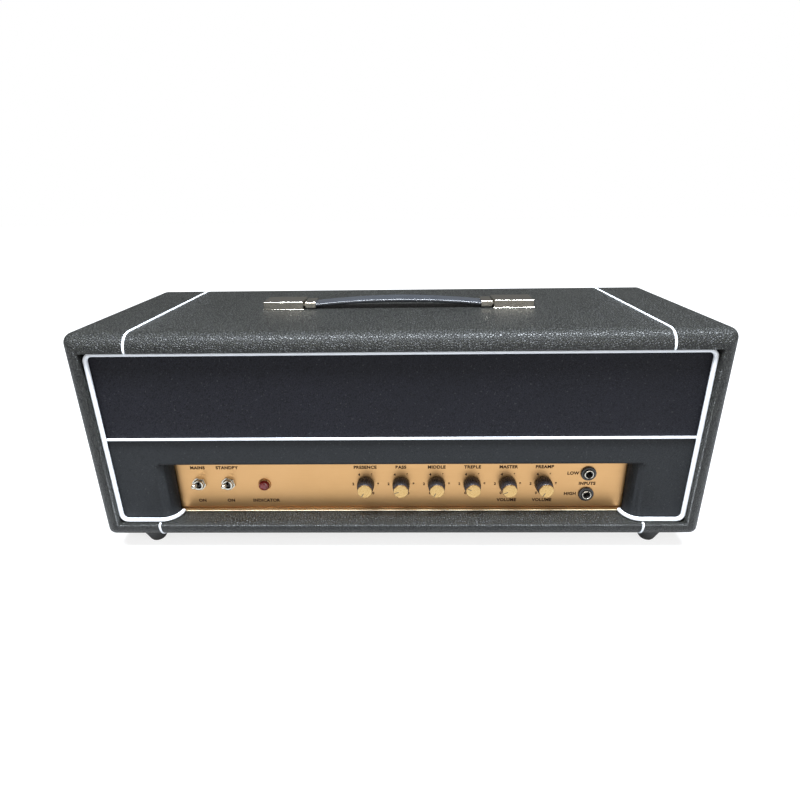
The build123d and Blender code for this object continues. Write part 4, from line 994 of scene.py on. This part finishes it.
def rear_lettering():
    ink_y = REAR_Y + INK_HEIGHT / 2
    fuse_z = CONTROL_Z - 18 * MM
    z = CONTROL_Z + 22 * MM
    speaker = middle("speaker_jacks")
    lines = [
        text_mesh("SPEAKERS", LETTER, speaker.x, ink_y, z, rear=True),
        text_mesh("OHMS", LETTER, middle("impedance_selector").x, ink_y, z + 4 * MM, rear=True),
        text_mesh("MAINS IN", LETTER, middle("mains_inlet").x, ink_y, z, rear=True),
        text_mesh("MAINS FUSE", LETTER * 0.8, middle("mains_fuse_cap").x, ink_y, fuse_z, rear=True),
        text_mesh("HT FUSE", LETTER * 0.8, middle("ht_fuse_cap").x, ink_y, fuse_z, rear=True),
    ]
    dial = middle("impedance_selector")
    for value, turn in (("4", 45), ("8", 0), ("16", -45)):
        x = dial.x + 19 * MM * sin(radians(turn))
        lines.append(text_mesh(value, LETTER, x, ink_y, dial.z + 19 * MM * cos(radians(turn)), rear=True))
    made = piece("rear_lettering", joined_mesh("rear_lettering", lines), "knob_black", "cabinet")


# ---- rear
def cross_screw_mesh():
    """A raised screw head in a cup washer, about +Z, and a thin dark cross on its top: painted shade that
    stands for the cross recess.
    """
    outline = [
        (0.0, 1.9 * MM), (1.5 * MM, 1.85 * MM), (3.0 * MM, 1.45 * MM), (3.7 * MM, 0.95 * MM),
        (3.9 * MM, 0.75 * MM), (5.0 * MM, 1.1 * MM), (6.0 * MM, 0.75 * MM), (6.6 * MM, 0.05 * MM),
        (6.6 * MM, -0.05 * MM), (0.0, -0.05 * MM),
    ]
    head = turned("screw_head", outline, 28)
    arms = []
    for turn in (0.0, pi / 2):
        # Dark bars laid on the dome: painted shade of the cross recess.
        arm = bar_mesh("recess", (3.4 * MM, 0.75 * MM, 0.12 * MM))
        arm.transform(Matrix.Translation((0, 0, 1.88 * MM)) @ Matrix.Rotation(turn, 4, "Z"))
        arms.append(arm)
    return head, joined_mesh("recess", arms)


def rear_screws():
    head, recess = cross_screw_mesh()
    face = high("rear_panel").y
    work = bmesh.new()
    work.from_mesh(NODES["rear_panel_screws"].data)
    bmesh.ops.remove_doubles(work, verts=work.verts, dist=1e-6)
    places = []
    seen = set()
    for start in work.verts:
        if start in seen:
            continue
        island, queue = [], [start]
        seen.add(start)
        while queue:
            vertex = queue.pop()
            island.append(vertex.co.copy())
            for edge in vertex.link_edges:
                other = edge.other_vert(vertex)
                if other not in seen:
                    seen.add(other)
                    queue.append(other)
        places.append((
            (min(p.x for p in island) + max(p.x for p in island)) / 2,
            face,
            (min(p.z for p in island) + max(p.z for p in island)) / 2,
        ))
    work.free()
    copies("rear_screw_heads", head, places, "nickel", TO_REAR, 1.5, "cabinet", ("rear_panel_screws",))
    # Dark crosses on the screw heads: painted shade of their recesses.
    made = copies("rear_screw_recesses", recess, places, "black_steel", TO_REAR, 1.5, "cabinet")


# ---- handle
def strap_section(t):
    """Outline (y, z) of the moulded strap about its own centre line; t is 0 in the middle, 1 at an end."""
    width = 11.6 - 0.9 * t
    thick = 3.5 - 0.35 * t
    outline = []
    steps = 44
    for i in range(steps):
        turn = tau * i / steps
        y = width * abs(cos(turn)) ** 0.62 * (1 if cos(turn) >= 0 else -1)
        z = thick * abs(sin(turn)) ** 0.6 * (1 if sin(turn) >= 0 else -1)
        if sin(turn) > 0:
            ridge = ridge_height(y, 5.2, 2.6) + ridge_height(y, -5.2, 2.6)
            z = z * 0.62 + 1.25 * ridge * (1 - 0.35 * t)
        outline.append((y * MM, z * MM))
    return outline


def ridge_height(value, centre, width):
    """A smooth bump of height 1 about a centre."""
    reach = abs(value - centre) / width
    return 0.0 if reach >= 1 else (1 - reach * reach) ** 2


def handle():
    for side in ("left", "right"):
        refined("handle_ferrule_" + side, "nickel", bevel=0.35 * MM, name="ferrule_finished_" + side)
    refined("handle_end_caps", "nickel", bevel=0.25 * MM)
    bases = []
    cap_low, cap_high = low("handle_end_caps"), high("handle_end_caps")
    length = 46.0 * MM
    for side in (-1, 1):
        across = cap_high.y - cap_low.y + 1.4 * MM
        plate = bar_mesh("cap_base", (length + 1.4 * MM, across, 1.0 * MM), 0.3 * MM)
        plate.transform(Matrix.Translation((side * (cap_high.x - length / 2), 0, cap_low.z + 0.45 * MM)))
        bases.append(plate)
    piece("handle_base_plates", joined_mesh("bases", bases), "nickel", "cabinet")
    strap()


def strap():
    """The strap in two halves, each arching down from the lifted middle to its own end."""
    strap_low, strap_high = low("handle_strap"), high("handle_strap")
    reach = strap_high.x + 0.8 * MM
    thick = 7.2 * MM
    rise = strap_high.z - strap_low.z - thick
    steps = 48
    for side, name in ((-1, "left"), (1, "right")):
        vertices = []
        for k in range(steps + 1):
            t = k / steps
            centre_z = strap_low.z + thick / 2 + rise * (1 - t * t)
            for y, z in strap_section(t):
                vertices.append((side * reach * t, y, centre_z + z))
        ring = len(strap_section(0))
        faces = []
        for k in range(steps):
            for i in range(ring):
                j = (i + 1) % ring
                faces.append((k * ring + i, k * ring + j, (k + 1) * ring + j, (k + 1) * ring + i))
        faces.append(tuple(range(steps * ring, (steps + 1) * ring)))
        mesh = mesh_from("strap_" + name, vertices, faces)
        made = piece("handle_strap_" + name, mesh, "handle_rubber", None, (), sharp=60)
        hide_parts("handle_strap")
        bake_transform(made)


# ---- stage
def studio():
    floor = bpy.data.meshes.new("floor")
    reach = 6.0
    corners = [(-reach, -reach, 0), (reach, -reach, 0), (reach, reach, 0), (-reach, reach, 0)]
    floor.from_pydata(corners, [], [(0, 1, 2, 3)])
    stage = bpy.data.objects.new("floor", floor)
    bpy.context.scene.collection.objects.link(stage)
    pale = bpy.data.materials.new("pale_floor")
    pale.use_nodes = True
    tree = pale.node_tree
    tree.nodes.clear()
    path = node(tree, "ShaderNodeLightPath")
    glossy = calc(tree, "MULTIPLY", path.outputs["Is Glossy Ray"], 0.32)
    seen = calc(tree, "MAXIMUM", path.outputs["Is Camera Ray"], path.outputs["Is Transmission Ray"])
    spot = node(tree, "ShaderNodeTexCoord").outputs["Object"]
    away = node(tree, "ShaderNodeVectorMath", {"operation": "LENGTH"}, _0=spot).outputs["Value"]
    paleness = stretch(tree, away, 0.7, 2.2, 0.78, 1.0)
    glow_strength = calc(tree, "MULTIPLY_ADD", seen, paleness, glossy)
    lit = node(tree, "ShaderNodeBsdfDiffuse", Color=(0.3, 0.3, 0.3, 1.0))
    glow = node(tree, "ShaderNodeEmission", Color=(1.0, 1.0, 1.0, 1.0), Strength=glow_strength)
    both = node(tree, "ShaderNodeAddShader", _0=lit.outputs[0], _1=glow.outputs[0])
    node(tree, "ShaderNodeOutputMaterial", Surface=both.outputs[0])
    floor.materials.append(pale)
    world = bpy.data.worlds.new("studio")
    bpy.context.scene.world = world
    world.use_nodes = True
    tree = world.node_tree
    tree.nodes.clear()
    path = node(tree, "ShaderNodeLightPath")
    seen = calc(tree, "MAXIMUM", path.outputs["Is Camera Ray"], path.outputs["Is Transmission Ray"])
    strength = calc(tree, "MULTIPLY_ADD", seen, 0.83, 0.17)
    sky = node(tree, "ShaderNodeBackground", Color=(1.0, 1.0, 1.0, 1.0), Strength=strength)
    node(tree, "ShaderNodeOutputWorld", Surface=sky.outputs[0])
    softbox("key_light", (-0.9, -1.5, 1.9), (1.6, 1.2), 13.0, (1.0, 0.98, 0.96))
    softbox("top_light", (0.1, -0.5, 2.0), (2.4, 0.3), 210.0, (0.84, 0.91, 1.0))
    softbox("fill_light", (1.9, -1.2, 0.9), (1.2, 1.2), 7.0, (0.97, 0.98, 1.0))
    softbox("front_light", (0.2, -1.7, 0.75), (1.6, 0.5), 8.0, (1.0, 0.97, 0.94))


def softbox(name, place, size, power, colour):
    light = bpy.data.lights.new(name, "AREA")
    light.shape = "RECTANGLE"
    light.size, light.size_y = size
    light.energy = power
    light.color = colour
    lamp = bpy.data.objects.new(name, light)
    bpy.context.scene.collection.objects.link(lamp)
    lamp.location = place
    aim = Vector((0.0, 0.0, 0.14)) - Vector(place)
    lamp.rotation_euler = aim.to_track_quat("-Z", "Y").to_euler()


def camera():
    """A short lens close in front, a little above the cabinet and looking down on it."""
    yaw, pitch, roll = radians(-1.13), radians(19.07), radians(-0.8)
    under = low("vinyl_covering").z
    forward = Vector((sin(yaw) * cos(pitch), cos(yaw) * cos(pitch), -sin(pitch)))
    across = Vector((cos(yaw), -sin(yaw), 0.0))
    upward = across.cross(forward)
    right = across * cos(roll) + upward * sin(roll)
    up = upward * cos(roll) - across * sin(roll)
    data = bpy.data.cameras.new("camera")
    data.sensor_width = 36.0
    data.lens = 21.81
    data.shift_y = -0.0515
    data.clip_start = 0.01
    shot = bpy.data.objects.new("camera", data)
    bpy.context.scene.collection.objects.link(shot)
    axes = Matrix((right, up, -forward)).transposed().to_4x4()
    shot.matrix_world = Matrix.Translation((0.0121, -0.5666, 0.3695 + under)) @ axes
    bpy.context.scene.camera = shot
    bpy.context.scene.view_settings.view_transform = "Standard"


fittings()
camera()
studio()
cabinet()
seams()
knobs()
toggles()
panel_hardware()
indicator()
panel_edge()
lettering()
rear_screws()
handle()
